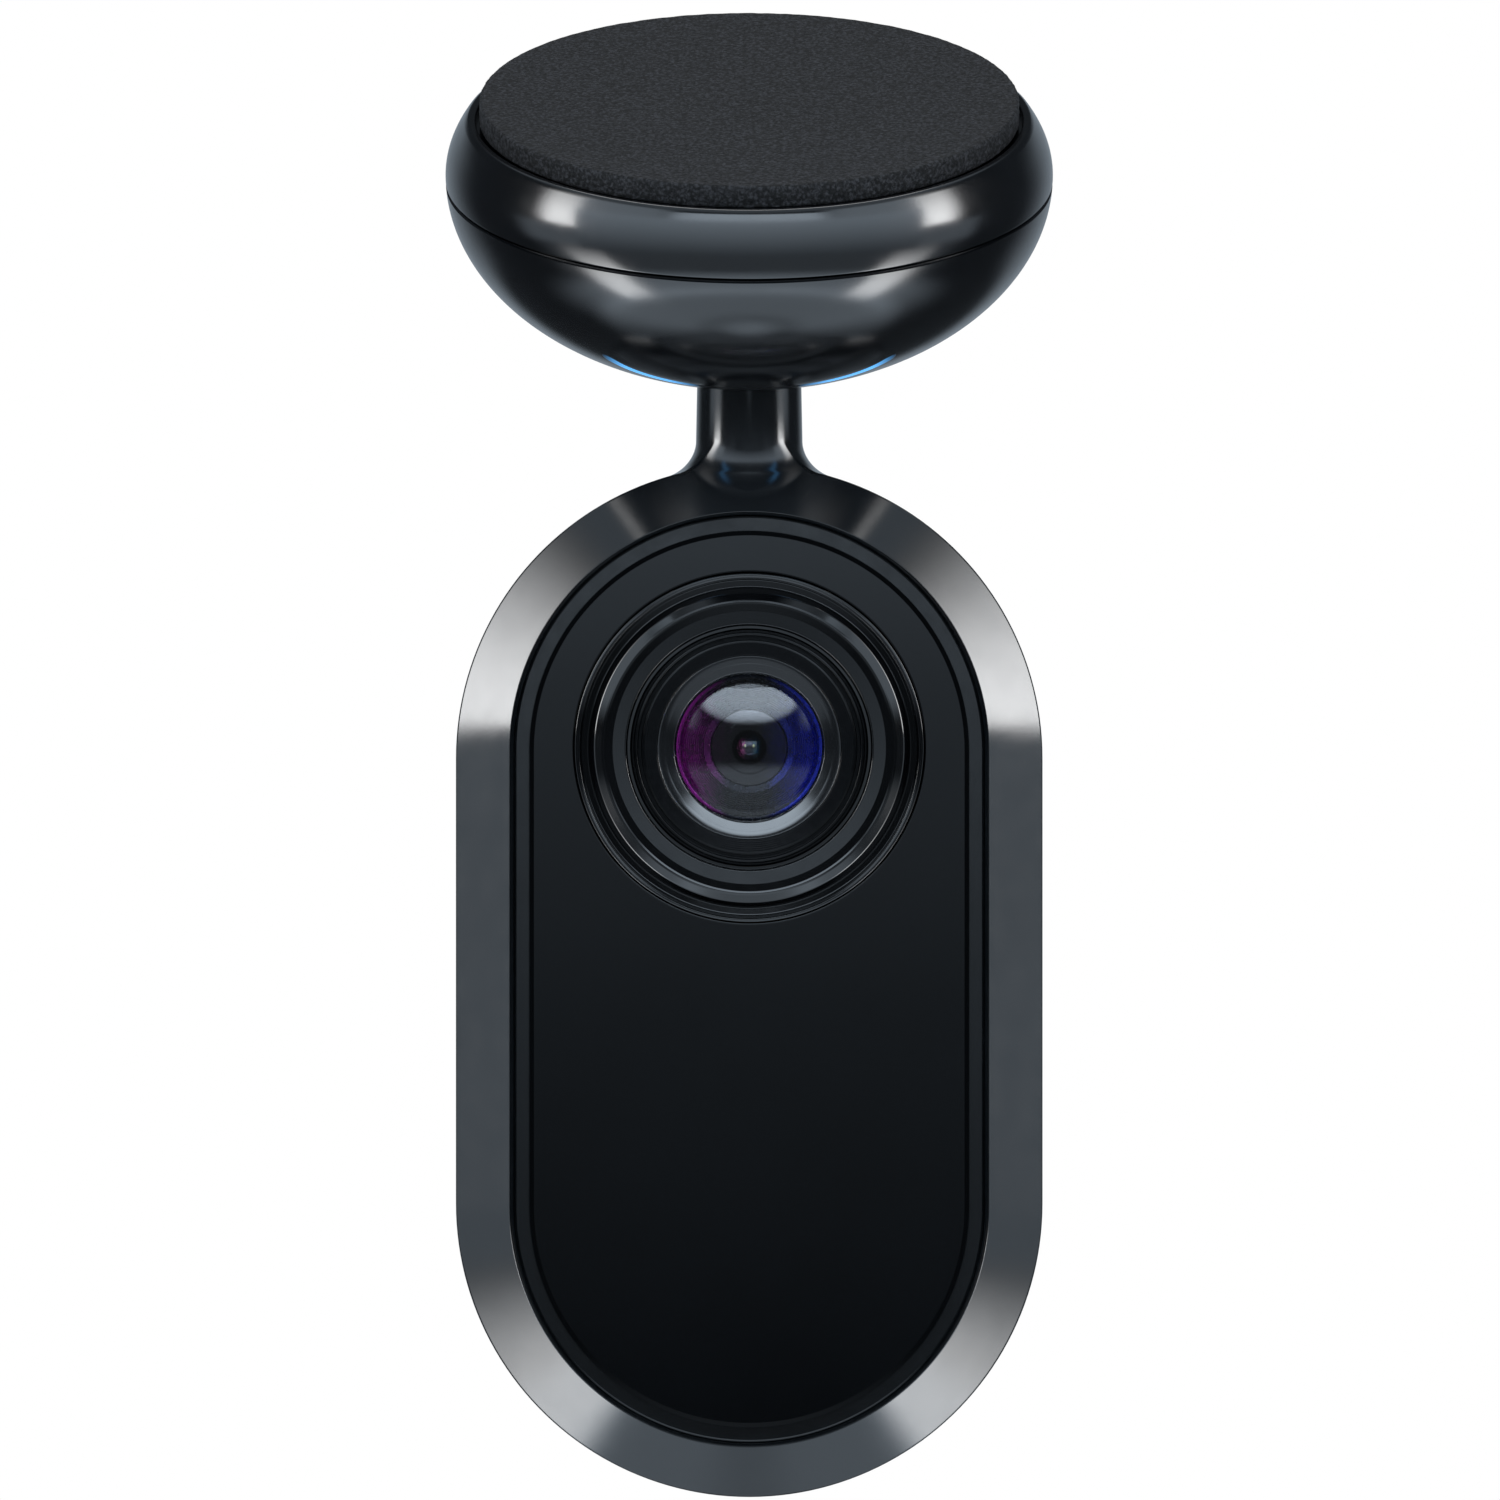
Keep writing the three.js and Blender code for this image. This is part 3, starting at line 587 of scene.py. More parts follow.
def ellipse_arc(wide, tall, first, last, steps):
    turns = [first + (last - first) * k / steps for k in range(steps + 1)]
    return [(wide * math.cos(t), EQUATOR_Z + tall * math.sin(t)) for t in turns]


def speckle(points, size, seed):
    """Repeatable roughness between -1 and 1 for each point, smooth over about size millimetres."""
    draw = np.random.default_rng(seed)
    total = np.zeros(len(points))
    for _ in range(14):
        way = draw.normal(size=3)
        way *= 2 * math.pi / size / np.linalg.norm(way) * draw.uniform(0.7, 1.5)
        total += np.sin(points @ way + draw.uniform(0, 2 * math.pi))
    return np.clip(total / 4.5, -1, 1)


def foam_pad():
    """Foam disc: a finely uneven face, a soft rim and a cut side that shows its cells."""
    radii = list(np.linspace(0.001, PAD_R - 0.3, 62))
    soft = 0.22
    rim = [(PAD_R - soft + soft * math.sin(t), -soft + soft * math.cos(t))
           for t in np.linspace(0, math.pi / 2, 5)]
    side = [(PAD_R, z) for z in np.linspace(-0.34, -PAD_T + 0.06, 9)]
    profile = [(r, 0.0) for r in radii] + rim + side + [(PAD_R - 0.1, -PAD_T), (0.001, -PAD_T)]
    segments = 540
    angles = np.arange(segments) * 2 * math.pi / segments
    points = np.array([[r * math.cos(a), r * math.sin(a), z] for r, z in profile for a in angles])
    heights = points[:, 2]
    distance = np.hypot(points[:, 0], points[:, 1])
    top = (heights > -0.3) & (distance > 0.5)
    points[top, 2] -= 0.012 * (1 + speckle(points[top], 0.9, 3))
    cut_side = (heights < -0.05) & (heights > -PAD_T + 0.03) & (distance > PAD_R - 0.1)
    push = 1 - (0.035 * (1 + speckle(points[cut_side], 0.42, 5))) / PAD_R
    points[cut_side, 0] *= push
    points[cut_side, 1] *= push
    pad = make_object("foam_pad", points, grid_faces(len(profile), segments, False, True), MOUNT, 60)
    settle(pad, "mount", FOAM, "pad_foam", "adhesive_pad")


def upper_housing():
    """The half of the shell next to the pad, with the lip that holds it."""
    start = math.asin((SEAM_TOP - EQUATOR_Z) / DOME_UP)
    stop = math.asin(LIP_H / DOME_UP)
    outer = ellipse_arc(DISC_R, DOME_UP, start, stop, 40)
    rim_top = EQUATOR_Z + LIP_H + 0.22
    lip = fillet_path([(*outer[-1], 0), (outer[-1][0] - 0.25, rim_top, 0.3), (17.72, rim_top - 0.05, 0.14),
                       (17.68, -1.9, 0)], closed=False)
    low = fillet_path([(16.8, -3.2, 0), (DISC_R - WALL, SEAM_TOP, 0.05), (outer[0][0], SEAM_TOP, 0.12),
                       (*outer[1], 0)], closed=False, steps=4, hold=0)
    profile = [*low[:-1], *outer[1:-1], *lip, (0.001, -1.9), (0.001, -3.2)]
    piece = lathe("upper_housing", profile, MOUNT, 256)
    settle(piece, "mount", PIANO, "gloss_housing", "mount_upper_housing")


def lower_shell():
    """The deep half of the shell, open at the foot for the ball."""
    top = math.asin((SEAM_LOW - EQUATOR_Z) / DOME_DOWN)
    outer = ellipse_arc(DISC_R, DOME_DOWN, top, -math.acos(OPENING_R / DISC_R), 90)
    inside = DISC_R - WALL
    tall = DOME_DOWN - WALL
    inner = ellipse_arc(inside, tall, -math.acos((OPENING_R + 0.05) / inside),
                        math.asin((SEAM_LOW - EQUATOR_Z) / tall), 40)
    rim = fillet_path([(*outer[-2], 0), (OPENING_R, outer[-1][1], 0.3), (*inner[0], 0.2),
                       (*inner[1], 0)], closed=False)
    seam = fillet_path([(*inner[-2], 0), (inner[-1][0], SEAM_LOW, 0.05), (outer[0][0], SEAM_LOW, 0.12),
                        (*outer[1], 0)], closed=False, steps=4, hold=0)
    profile = [*outer[2:-2], *rim, *inner[2:-2], *seam]
    piece = lathe("lower_shell", profile, MOUNT, 256)
    settle(piece, "mount", PIANO, "gloss_housing", "mount_lower_shell")


def light_plan(x):
    """How far ahead of the disc's axis the light guide runs, at x."""
    return -(11.1 + 1.1 * (abs(x) / 9.26) ** 6)


def status_light():
    """A slim bow let into the underside, following the shell's curve, a hair proud of it."""
    across = 8
    along = 120
    half_width = 0.48
    thick = 0.3
    rows = []
    for x in np.linspace(-LIGHT_SPAN, LIGHT_SPAN, along):
        taper = min(1.0, (LIGHT_SPAN - abs(x)) / 0.5) ** 0.5
        slope = (light_plan(x + 0.01) - light_plan(x - 0.01)) / 0.02
        normal = Vector((-slope, 1)).normalized()
        centre = Vector((x, light_plan(x)))
        for k in range(across + 1):
            share = 2 * k / across - 1
            p = centre + normal * half_width * share * max(taper, 0.02)
            h = DOME_DOWN * math.sqrt(max(0, 1 - (p.length / DISC_R) ** 2))
            rows.append((p.x, p.y, EQUATOR_Z - h - 0.04 * (1 - share ** 4) + 0.01))
    faces = grid_faces(along, across + 1, False, False)
    top = len(rows)
    rows += [(x, y, z + thick) for x, y, z in rows]
    faces += [tuple(top + i for i in reversed(f)) for f in faces]
    edge = [i * (across + 1) for i in range(along)]
    for a, b in zip(edge, edge[1:]):
        faces.append((a, b, top + b, top + a))
        faces.append((a + across, top + a + across, top + b + across, b + across))
    for row in (0, along - 1):
        for k in range(across):
            a = row * (across + 1) + k
            faces.append((a, a + 1, top + a + 1, top + a))
    piece = make_object("status_light", rows, faces, MOUNT)
    settle(piece, "mount", LIT, "light_guide", "status_light_guide")


BALL_R = 6.6
BALL_FLAT = 5.0                 # how far below its centre the ball is cut flat


def joint_ball():
    """A ball with a flat foot and a blind bore for the neck's screw."""
    bore_r, bore_top = 1.65, 1.2
    low = -math.asin(BALL_FLAT / BALL_R)
    turns = np.linspace(low, math.pi / 2, 60)
    arc = [(max(BALL_R * math.cos(t), 0.001), BALL_R * math.sin(t)) for t in turns]
    start = arc[0][0]
    foot = fillet_path([(bore_r, -BALL_FLAT, 0), (start, -BALL_FLAT, 0.25), (*arc[2], 0)], closed=False)
    piece = lathe("ball", [(bore_r, bore_top), *foot, *arc[3:], (0.001, bore_top)], BALL, 128)
    settle(piece, "ball", PIANO, "gloss_housing", "joint_ball")


# ---- camera body ----
SIDE_BACK = 15.0
SHELF = 2.0
SHELF_BACK = 3.1
OPEN_R = 12.9
BODY_WALL = 1.6
SIDE_BLEND = 1.8
FRONT_BLEND = 1.0
NECK_R = 3.38
NECK_TAPER = 0.02               # what its radius gains with each millimetre down
NECK_R_AT = 38.26               # height above the body's centre at which the neck has its radius
NECK_FLAT = 0.25                # how far the neck's foot is drawn out ahead and behind
FLAT_FROM = 37.5                # height at which that starts
FLAT_OVER = 4.5                 # height over which it grows
NECK_TOP = SHELL_HIGH.z - BODY_Z
NECK_AT = NECK_Y - BODY_FRONT   # the neck's axis, behind the front edge


def blended(first, second, radius):
    """Rounded union of two distances."""
    near = np.hypot(np.maximum(radius - first, 0), np.maximum(radius - second, 0))
    return np.maximum(radius, np.minimum(first, second)) - near


def solid_value(p):
    """Signed distance, roughly, to the body with its neck blended in; p is an array of points."""
    x, y, z = p[:, 0], p[:, 1], p[:, 2]
    outline = np.hypot(x, z - np.clip(z, -BODY_L, BODY_L)) - BODY_R
    radius, half, rise = outline_at(1 - y / CHAMFER)
    slanted = np.hypot(x, z - rise - np.clip(z - rise, -half, half)) - radius
    chamfer = slanted * math.sin(math.atan2(CHAMFER, BODY_R - EDGE_R))
    behind = y - NECK_AT
    flat = NECK_FLAT * np.clip((FLAT_FROM - z) / FLAT_OVER, 0, 1) ** 2
    behind = behind - np.clip(behind, -flat, flat)
    neck = np.hypot(x, behind) - NECK_R - NECK_TAPER * (NECK_R_AT - z)
    return np.maximum(blended(outline, neck, SIDE_BLEND), blended(chamfer, neck, FRONT_BLEND))


def to_surface(points, rounds=10):
    """Moves points on to the blended solid's skin, a hair outside it."""
    step = 1e-3
    for _ in range(rounds):
        value = solid_value(points) - 0.004
        rises = [solid_value(points + step * way) - solid_value(points - step * way) for way in np.eye(3)]
        slope = np.stack([rise / (2 * step) for rise in rises], -1)
        length = np.maximum((slope ** 2).sum(1), 1e-6)
        points = points - (value / length)[:, None] * slope
    return points


def neck_patch():
    """The neck and the skirt by which it runs out on to the body, as one grid round the neck's axis."""
    around = 320
    angles = np.arange(around) * 2 * math.pi / around
    foot_z = BODY_R + BODY_L + 2.2
    rows = []
    for z in np.linspace(NECK_TOP, foot_z, 14):
        r = NECK_R + NECK_TAPER * (NECK_R_AT - z)
        ring = np.stack([r * np.cos(angles), NECK_AT + r * np.sin(angles), z + 0 * angles], -1)
        rows.append(to_surface(ring))
    first = rows[-1]
    radius = NECK_R + NECK_TAPER * (NECK_R_AT - BODY_R - BODY_L)
    facing = np.clip(-np.sin(angles), 0, 1)
    reach = radius + SIDE_BLEND + 0.1 + (NECK_FLAT + 0.1) * facing
    end_x = reach * np.cos(angles)
    end_y = np.maximum(NECK_AT + reach * np.sin(angles), 0.25)
    end_r, end_half, end_rise = outline_at(np.maximum(0, 1 - end_y / CHAMFER))
    target = np.stack([end_x, end_y, end_rise + end_half + np.sqrt(end_r ** 2 - end_x ** 2)], -1)
    corner_y = NECK_AT + (first[:, 1] - NECK_AT) * 1.02
    corner = np.stack([first[:, 0] * 1.02, corner_y, target[:, 2] + 0.6], -1)
    steps = 72
    for k in range(1, steps + 1):
        t = k / steps
        rows.append(to_surface((1 - t) ** 2 * first + 2 * t * (1 - t) * corner + t ** 2 * target))
    rows.append(rows[-1] + (0, 0.03, -0.05))
    verts = np.concatenate([*rows, np.array([[0, NECK_AT, NECK_TOP]])])
    faces = grid_faces(len(rows), around, False, True)
    centre = len(verts) - 1
    faces += [(centre, (j + 1) % around, j) for j in range(around)]
    return make_object("neck", verts, faces, CAMERA, 40)


def body_band():
    """Side wall, chamfer, groove wall and window shelf, all round."""
    corners = [
        (BODY_R, SIDE_BACK, 0.1), (BODY_R, CHAMFER, 0.22), (EDGE_R, 0.0, 0.17), (EDGE_R, SHELF, 0.15),
        (OPEN_R, SHELF, 0.1), (OPEN_R, SHELF_BACK, 0.1), (BODY_R - BODY_WALL, SHELF_BACK, 0.2),
        (BODY_R - BODY_WALL, SIDE_BACK, 0.1),
    ]
    verts, faces = stadium_sweep(fillet_path(corners))
    return make_object("band", verts, faces, CAMERA)


USB_LOW, USB_HIGH = box_mm("usb_socket")
CARD_LOW, CARD_HIGH = box_mm("memory_card")
USB_MID = (USB_LOW + USB_HIGH) / 2
CARD_MID = (CARD_LOW + CARD_HIGH) / 2
SIDEWAYS = Matrix.Rotation(math.radians(90), 4, "Y")


def side_slot(name, width, thick, radius, x, y, z, long=6):
    """A tool that cuts a rounded slot through the side wall."""
    place = Matrix.Translation((x, y, z)) @ SIDEWAYS
    return rounded_plate(name, rounded_rect(width, thick, radius), -long / 2, long / 2, place)


def camera_body():
    usb = side_slot("cut_usb", 9.5, 3.8, 1.85, -BODY_R, USB_MID.y, USB_MID.z)
    card = side_slot("cut_card", 12, 1.4, 0.5, BODY_R, CARD_MID.y, CARD_MID.z)
    band = cut(body_band(), usb, card)
    body = joined("camera_body", band, neck_patch())
    settle(body, "camera", LACQUER, "body_finish", "body_shell")


def fill_between(work, outer, inner, y):
    """A flat face at depth y between two loops."""
    edges = []
    for loop in (outer, inner):
        verts = [work.verts.new((x, y, z)) for x, z in loop]
        edges += [work.edges.new((verts[k - 1], verts[k])) for k in range(len(verts))]
    bmesh.ops.triangle_fill(work, use_beauty=True, edges=edges)


def window_panel():
    """Polished front panel with a rounded rim and a round hole for the lens."""
    outer_r = EDGE_R - 1.04
    face_y, back_y = 0.15, 1.15
    rim = fillet_path([(outer_r - 1, face_y, 0), (outer_r, face_y, 0.3), (outer_r, back_y, 0)],
                      closed=False)
    verts, faces = stadium_sweep(rim[1:], closed=False)
    lens_up = LENS_Z - BODY_Z
    hole_r = 11.36
    around = 160
    hole = fillet_path([(hole_r + 1, face_y, 0), (hole_r, face_y, 0.08), (hole_r, back_y, 0)],
                       closed=False)
    work = bmesh.new()
    made = [work.verts.new(v) for v in verts]
    for face in faces:
        work.faces.new([made[i] for i in face])
    for a, b in zip(hole[1:], hole[2:]):
        va, vb = [[work.verts.new((x, y, z)) for x, z in circle(r, around, lens_up)] for r, y in (a, b)]
        for k in range(around):
            work.faces.new((va[k - 1], va[k], vb[k], vb[k - 1]))
    for r, inner_r, y in ((rim[1][0], hole[1][0], face_y), (outer_r, hole_r, back_y)):
        fill_between(work, stadium_ring(r, 90), circle(inner_r, around, lens_up), y)
    bmesh.ops.remove_doubles(work, verts=work.verts, dist=1e-4)
    bmesh.ops.recalc_face_normals(work, faces=work.faces)
    panel = made_of("window", work, CAMERA)
    settle(panel, "camera", PANEL, "window_gloss", "window_panel")


BACK = BODY_BACK - BODY_FRONT
COVER_FRONT = SIDE_BACK + 0.1
POST_X, POST_Z = 12.6, 20.0
SCREWS = [(sx * POST_X, sz * POST_Z) for sx in (-1, 1) for sz in (-1, 1)]
BUTTON_R = 4.2
BUTTON_UP = (sum(box_mm("record_button"), Vector()) / 2).z - BODY_Z
SPEAKER_UP = (sum(box_mm("speaker"), Vector()) / 2).z - BODY_Z
BACKWARD = Matrix.Rotation(math.radians(-90), 4, "X")


def from_back(x, z):
    """Place whose +Z looks out of the rear cover."""
    return Matrix.Translation((x, BODY_BACK, BODY_Z + z)) @ BACKWARD


def rear_cover():
    inner = BODY_R - BODY_WALL
    profile = fillet_path([
        (0.01, BACK, 0), (BODY_R, BACK, 1.9), (BODY_R, COVER_FRONT, 0.1), (inner, COVER_FRONT, 0.1),
        (inner, BACK - 1.4, 0.3), (0.01, BACK - 1.4, 0),
    ], steps=12, closed=False)
    verts, faces = stadium_sweep(profile, closed=False, capped=True)
    cover = make_object("cover", verts, faces, CAMERA)
    tools = []
    for k, (x, z) in enumerate(SCREWS):
        well = fillet_path([(0.001, -1.35, 0), (2.2, -1.35, 0.1), (2.2, 0.4, 0), (0.001, 0.4, 0)],
                           closed=False)
        tools.append(lathe(f"well_{k}", well, from_back(x, z), 48))
    hole_r = BUTTON_R + 0.22
    hole = [(0.001, -3), (hole_r, -3), (hole_r, -0.12), (BUTTON_R + 0.5, 0.2), (0.001, 0.2)]
    tools.append(lathe("button_hole", hole, from_back(0, BUTTON_UP), 96))
    grille_r, pitch = 5.4, 1.5
    for row in range(-3, 4):
        half = math.sqrt(grille_r ** 2 - (row * pitch) ** 2)
        slot = rounded_rect(2 * half, 0.6, 0.29, 5)
        place = from_back(0, SPEAKER_UP + row * pitch)
        tools.append(rounded_plate(f"slot_{row + 3}", slot, -3, 1, place))
    cut(cover, *tools)
    settle(cover, "camera", GRAIN, "rear_plastic", "rear_cover")


def record_button():
    """Dished cap with a soft rim."""
    dish = [(r, 0.14 - 0.16 * (1 - (r / 3.2) ** 2)) for r in np.linspace(3.2, 0.001, 14)]
    rim = fillet_path([(BUTTON_R, -1.8, 0), (BUTTON_R, 0.3, 0.28), (3.4, 0.22, 0.3), (3.2, 0.14, 0)],
                      closed=False)
    profile = [(0.001, -2.0), (1.4, -2.0), (1.4, -1.8), *rim, *dish[1:]]
    cap = lathe("button_cap", profile, from_back(0, BUTTON_UP), 128)
    settle(cap, "button", PIANO, "rear_plastic", "record_button")


def cover_screws():
    """Four cross-head screws, each turned a little differently."""
    for k, (x, z) in enumerate(SCREWS):
        head = fillet_path([
            (0.001, -6.4, 0), (0.7, -6.4, 0), (0.95, -6.0, 0), (0.95, 0, 0), (1.95, 0, 0.08),
            (1.95, 0.55, 0.3), (1.2, 0.95, 0.5), (0.001, 0.95, 0),
        ], closed=False)
        place = from_back(x, z) @ Matrix.Translation((0, 0, -1.25))
        screw = lathe(f"rear_screw_{k + 1}", head, place, 64)
        turn = Matrix.Rotation(math.radians(20 + 37 * k), 4, "Z")
        bars = [rounded_plate(f"bar_{i}", rounded_rect(2.3, 0.42, 0.1, 4), 0.45, 2,
                              place @ turn @ Matrix.Rotation(math.radians(90 * i), 4, "Z"))
                for i in (0, 1)]
        cut(screw, *bars)
        settle(screw, "camera", STEEL, "steel", f"cover_screw_{k + 1}")


def usb_socket():
    """Stainless shell with a rolled mouth and a tongue that carries the contacts."""
    deep = USB_HIGH.x - USB_LOW.x
    place = Matrix.Translation((USB_LOW.x, USB_MID.y, USB_MID.z)) @ SIDEWAYS
    shell = rounded_plate("usb_port", rounded_rect(8.94, 3.26, 1.6, 12), 0, deep, place, edge=0.12)
    hollow = rounded_plate("hollow", rounded_rect(8.34, 2.66, 1.3, 12), -1, deep - 0.8, place)
    cut(shell, hollow)
    settle(shell, "camera", STEEL, "steel", "usb_socket")
    tongue = rounded_plate("usb_tongue", rounded_rect(6.6, 0.7, 0.12, 4), 1.2, deep - 0.5, place, edge=0.05)
    settle(tongue, "camera", EPOXY, "chip_black")
    for k in range(10):
        at = place @ Matrix.Translation((-2.7 + 0.6 * k, 0.36, 0))
        pin = rounded_plate(f"usb_contact_{k}", rounded_rect(0.3, 0.08, 0.02, 2), 1.6, 4.6, at)
        settle(pin, "camera", GOLD, "flex_amber")


def memory_card():
    """A thin card with rounded corners and one corner cut away."""
    thick = CARD_HIGH.y - CARD_LOW.y
    flat = Matrix.Translation((0, CARD_MID.y, 0)) @ Matrix.Rotation(math.radians(90), 4, "X")
    notch = 1.3
    notch_end = CARD_LOW.x + 6
    outline = fillet_path([
        (CARD_LOW.x, CARD_LOW.z, 0.5), (CARD_HIGH.x, CARD_LOW.z, 0.5), (CARD_HIGH.x, CARD_HIGH.z, 0.5),
        (notch_end, CARD_HIGH.z, 0.3), (notch_end - notch, CARD_HIGH.z - notch, 0.3),
        (CARD_LOW.x, CARD_HIGH.z - notch, 0.5),
    ], hold=0)
    card = rounded_plate("card", outline, -thick / 2, thick / 2, flat)
    settle(card, "card", EPOXY, "chip_black", "memory_card")


# ---- lens ----
def lens_piece(name, profile, material, slot, *nodes, segments=256, sharp=40):
    """A turned piece on the lens's axis; heights in its profile are measured out of the front face."""
    settle(lathe(name, profile, LENS, segments, sharp), "camera", material, slot, *nodes)


def lens_rings():
    """The round surround, the threaded front ring and the funnel that holds the front glass."""
    bezel = fillet_path([
        (11.3, -1.5, 0), (11.3, 0.02, 0.1), (11.14, 0.08, 0.06), (11.0, 0.02, 0.06), (10.86, -0.33, 0.1),
        (10.42, -0.38, 0.12), (10.02, 0.02, 0.4), (9.56, 0.29, 0.12), (9.44, 0.34, 0.06), (9.32, 0.3, 0.06),
        (8.85, 0.255, 0.4), (7.98, 0.23, 0.08), (7.93, -0.9, 0.05), (7.72, -0.9, 0), (7.72, -1.5, 0),
    ], steps=9, hold=0.02)
    lens_piece("lens_surround", bezel, BEZEL, "gloss_housing", "lens_bezel")
    ring = fillet_path([
        (7.7, -1.9, 0), (7.7, -0.5, 0.06), (7.6, -0.38, 0.05), (7.48, -0.38, 0.04), (7.44, -0.22, 0.05),
        (7.28, -0.16, 0.06), (7.2, -0.3, 0.03), (7.0, -0.3, 0.03), (6.94, -0.15, 0.05), (6.8, -0.1, 0.06),
        (5.98, -0.14, 0.05), (5.95, -0.6, 0.03), (5.95, -1.9, 0),
    ], steps=5, hold=0.02)
    lens_piece("lens_ring", ring, MATT_RING, "lens_black", "lens_front_ring")
    retainer = fillet_path([
        (5.93, -1.9, 0), (5.93, -0.16, 0.03), (5.42, -0.37, 0.12), (4.87, -0.5, 0.05),
        (4.84, -1.25, 0.05), (4.75, -1.42, 0.03), (4.75, -1.9, 0),
    ], hold=0)
    lens_piece("glass_retainer", retainer, FUNNEL, "lens_black")


def domed(edge_r, apex, sag, steps=24):
    """Points from the axis to the edge of a shallow dome whose middle stands at apex."""
    return [(max(edge_r * k / steps, 0.001), apex - sag * (k / steps) ** 2) for k in range(steps + 1)]


def front_glass():
    """Domed cover element: a curved skin with a ground edge."""
    edge_r, sag = 4.62, 0.82
    outer = domed(edge_r, -0.78, sag)
    inner = domed(edge_r, -1.1, sag)
    lens_piece("front_glass", [*outer, *inner[::-1]], FRONT_GLASS, "lens_glass", "front_element",
               segments=200, sharp=32)


def baffle():
    """Shallow cone behind the front glass, cut with fine ribs that kill stray light."""
    ribs = 11
    outer_r, inner_r, fall = 4.32, 2.92, 0.75
    pitch = (outer_r - inner_r) / ribs
    cone = []
    for k in range(ribs):
        r = outer_r - pitch * k
        w = -2.45 - fall * k / ribs
        cone += [(r, w), (r - 0.3 * pitch, w - 0.11), (r - 0.62 * pitch, w - 0.11)]
    mouth = [(4.72, -1.75), (4.5, -1.75), (4.42, -2.3), (outer_r + 0.03, -2.4)]
    seat = [(inner_r, -3.2), (inner_r - 0.02, -3.28), (2.5, -3.42), (2.46, -3.7), (2.46, -4.6),
            (4.72, -4.6)]
    lens_piece("ribbed_cone", [*mouth, *cone, *seat], RIBBED_PAINTED_HUES, "lens_black", "light_baffle",
               segments=200, sharp=25)


def inner_optics():
    """Stepped stack of elements that shows through the middle of the baffle, with painted reflection colour, and
    two bright beads as painted glints.
    """
    first = [(2.455, -3.95), (2.44, -3.72), (2.41, -3.68)]
    first += [(r, -3.68 + 0.22 * (1 - (r / 2.41) ** 2)) for r in np.linspace(2.38, 1.74, 12)]
    rim = [(1.73, -3.5), (1.69, -3.5), (1.675, -3.6)]
    second = [(r, -3.6 + 0.1 * (1 - (r / 1.66) ** 2)) for r in np.linspace(1.65, 1.16, 10)]
    lip = [(1.145, -3.5), (1.115, -3.5), (1.105, -3.7)]
    profile = [(0.6, -3.95), *first, *rim, *second, *lip, (1.1, -3.95)]
    lens_piece("second_glass", profile, INNER_PAINTED_HUES, "lens_glass", "inner_element", segments=160, sharp=32)
    bead = [(1.095 * math.sin(t), -4.75 + 1.2 * math.cos(t)) for t in np.linspace(0.001, 1.0, 24)]
    lens_piece("third_glass", [*bead, (1.095, -4.6), (0.001, -4.6)], JEWEL_PAINTED_HUES, "lens_glass",
               "rear_element", segments=96, sharp=32)
    # Two tiny bright beads where the lens shows two glints: painted glints, their bright gold colour stands in for
    # reflections of lamps in the glass.
    for k, x in enumerate((-0.26, 0.29)):
        spot = [(0.13 * math.sin(t), 0.1 * math.cos(t)) for t in np.linspace(0.002, math.pi / 2, 12)]
        at = LENS @ Matrix.Translation((x, 0.12, -3.6))
        pip = lathe(f"painted_glint_{k}", [*spot, (0.001, 0)], at, 48)
        settle(pip, "camera", GLINT, "lens_glass")


# ---- build ----
foam_pad()
upper_housing()
lower_shell()
status_light()
joint_ball()
camera_body()
window_panel()
rear_cover()
record_button()
cover_screws()
usb_socket()
memory_card()
lens_rings()
front_glass()
baffle()
inner_optics()


# ---- studio ----
def studio_floor():
    floor_z = cad_box[0].z - 0.03
    bpy.ops.mesh.primitive_circle_add(vertices=128, radius=0.4, fill_type="NGON", location=(0, 0, floor_z))
    floor = bpy.context.object
    floor.name = "floor"
    s = Shader("pale_floor")
    s.set(Roughness=0.9, Specular_IOR_Level=0.1)
    s.set(Emission_Color=(1.0, 0.93, 0.85, 1), Emission_Strength=0.28)
    drift = s.span(s.noise(0.02, 3), 0.3, 0.7)
    s.use(Base_Color=s.blend(drift, (0.88, 0.88, 0.88), (0.92, 0.92, 0.92)))
    floor.data.materials.append(s.material)
    floor.visible_glossy = False
    floor.visible_transmission = False


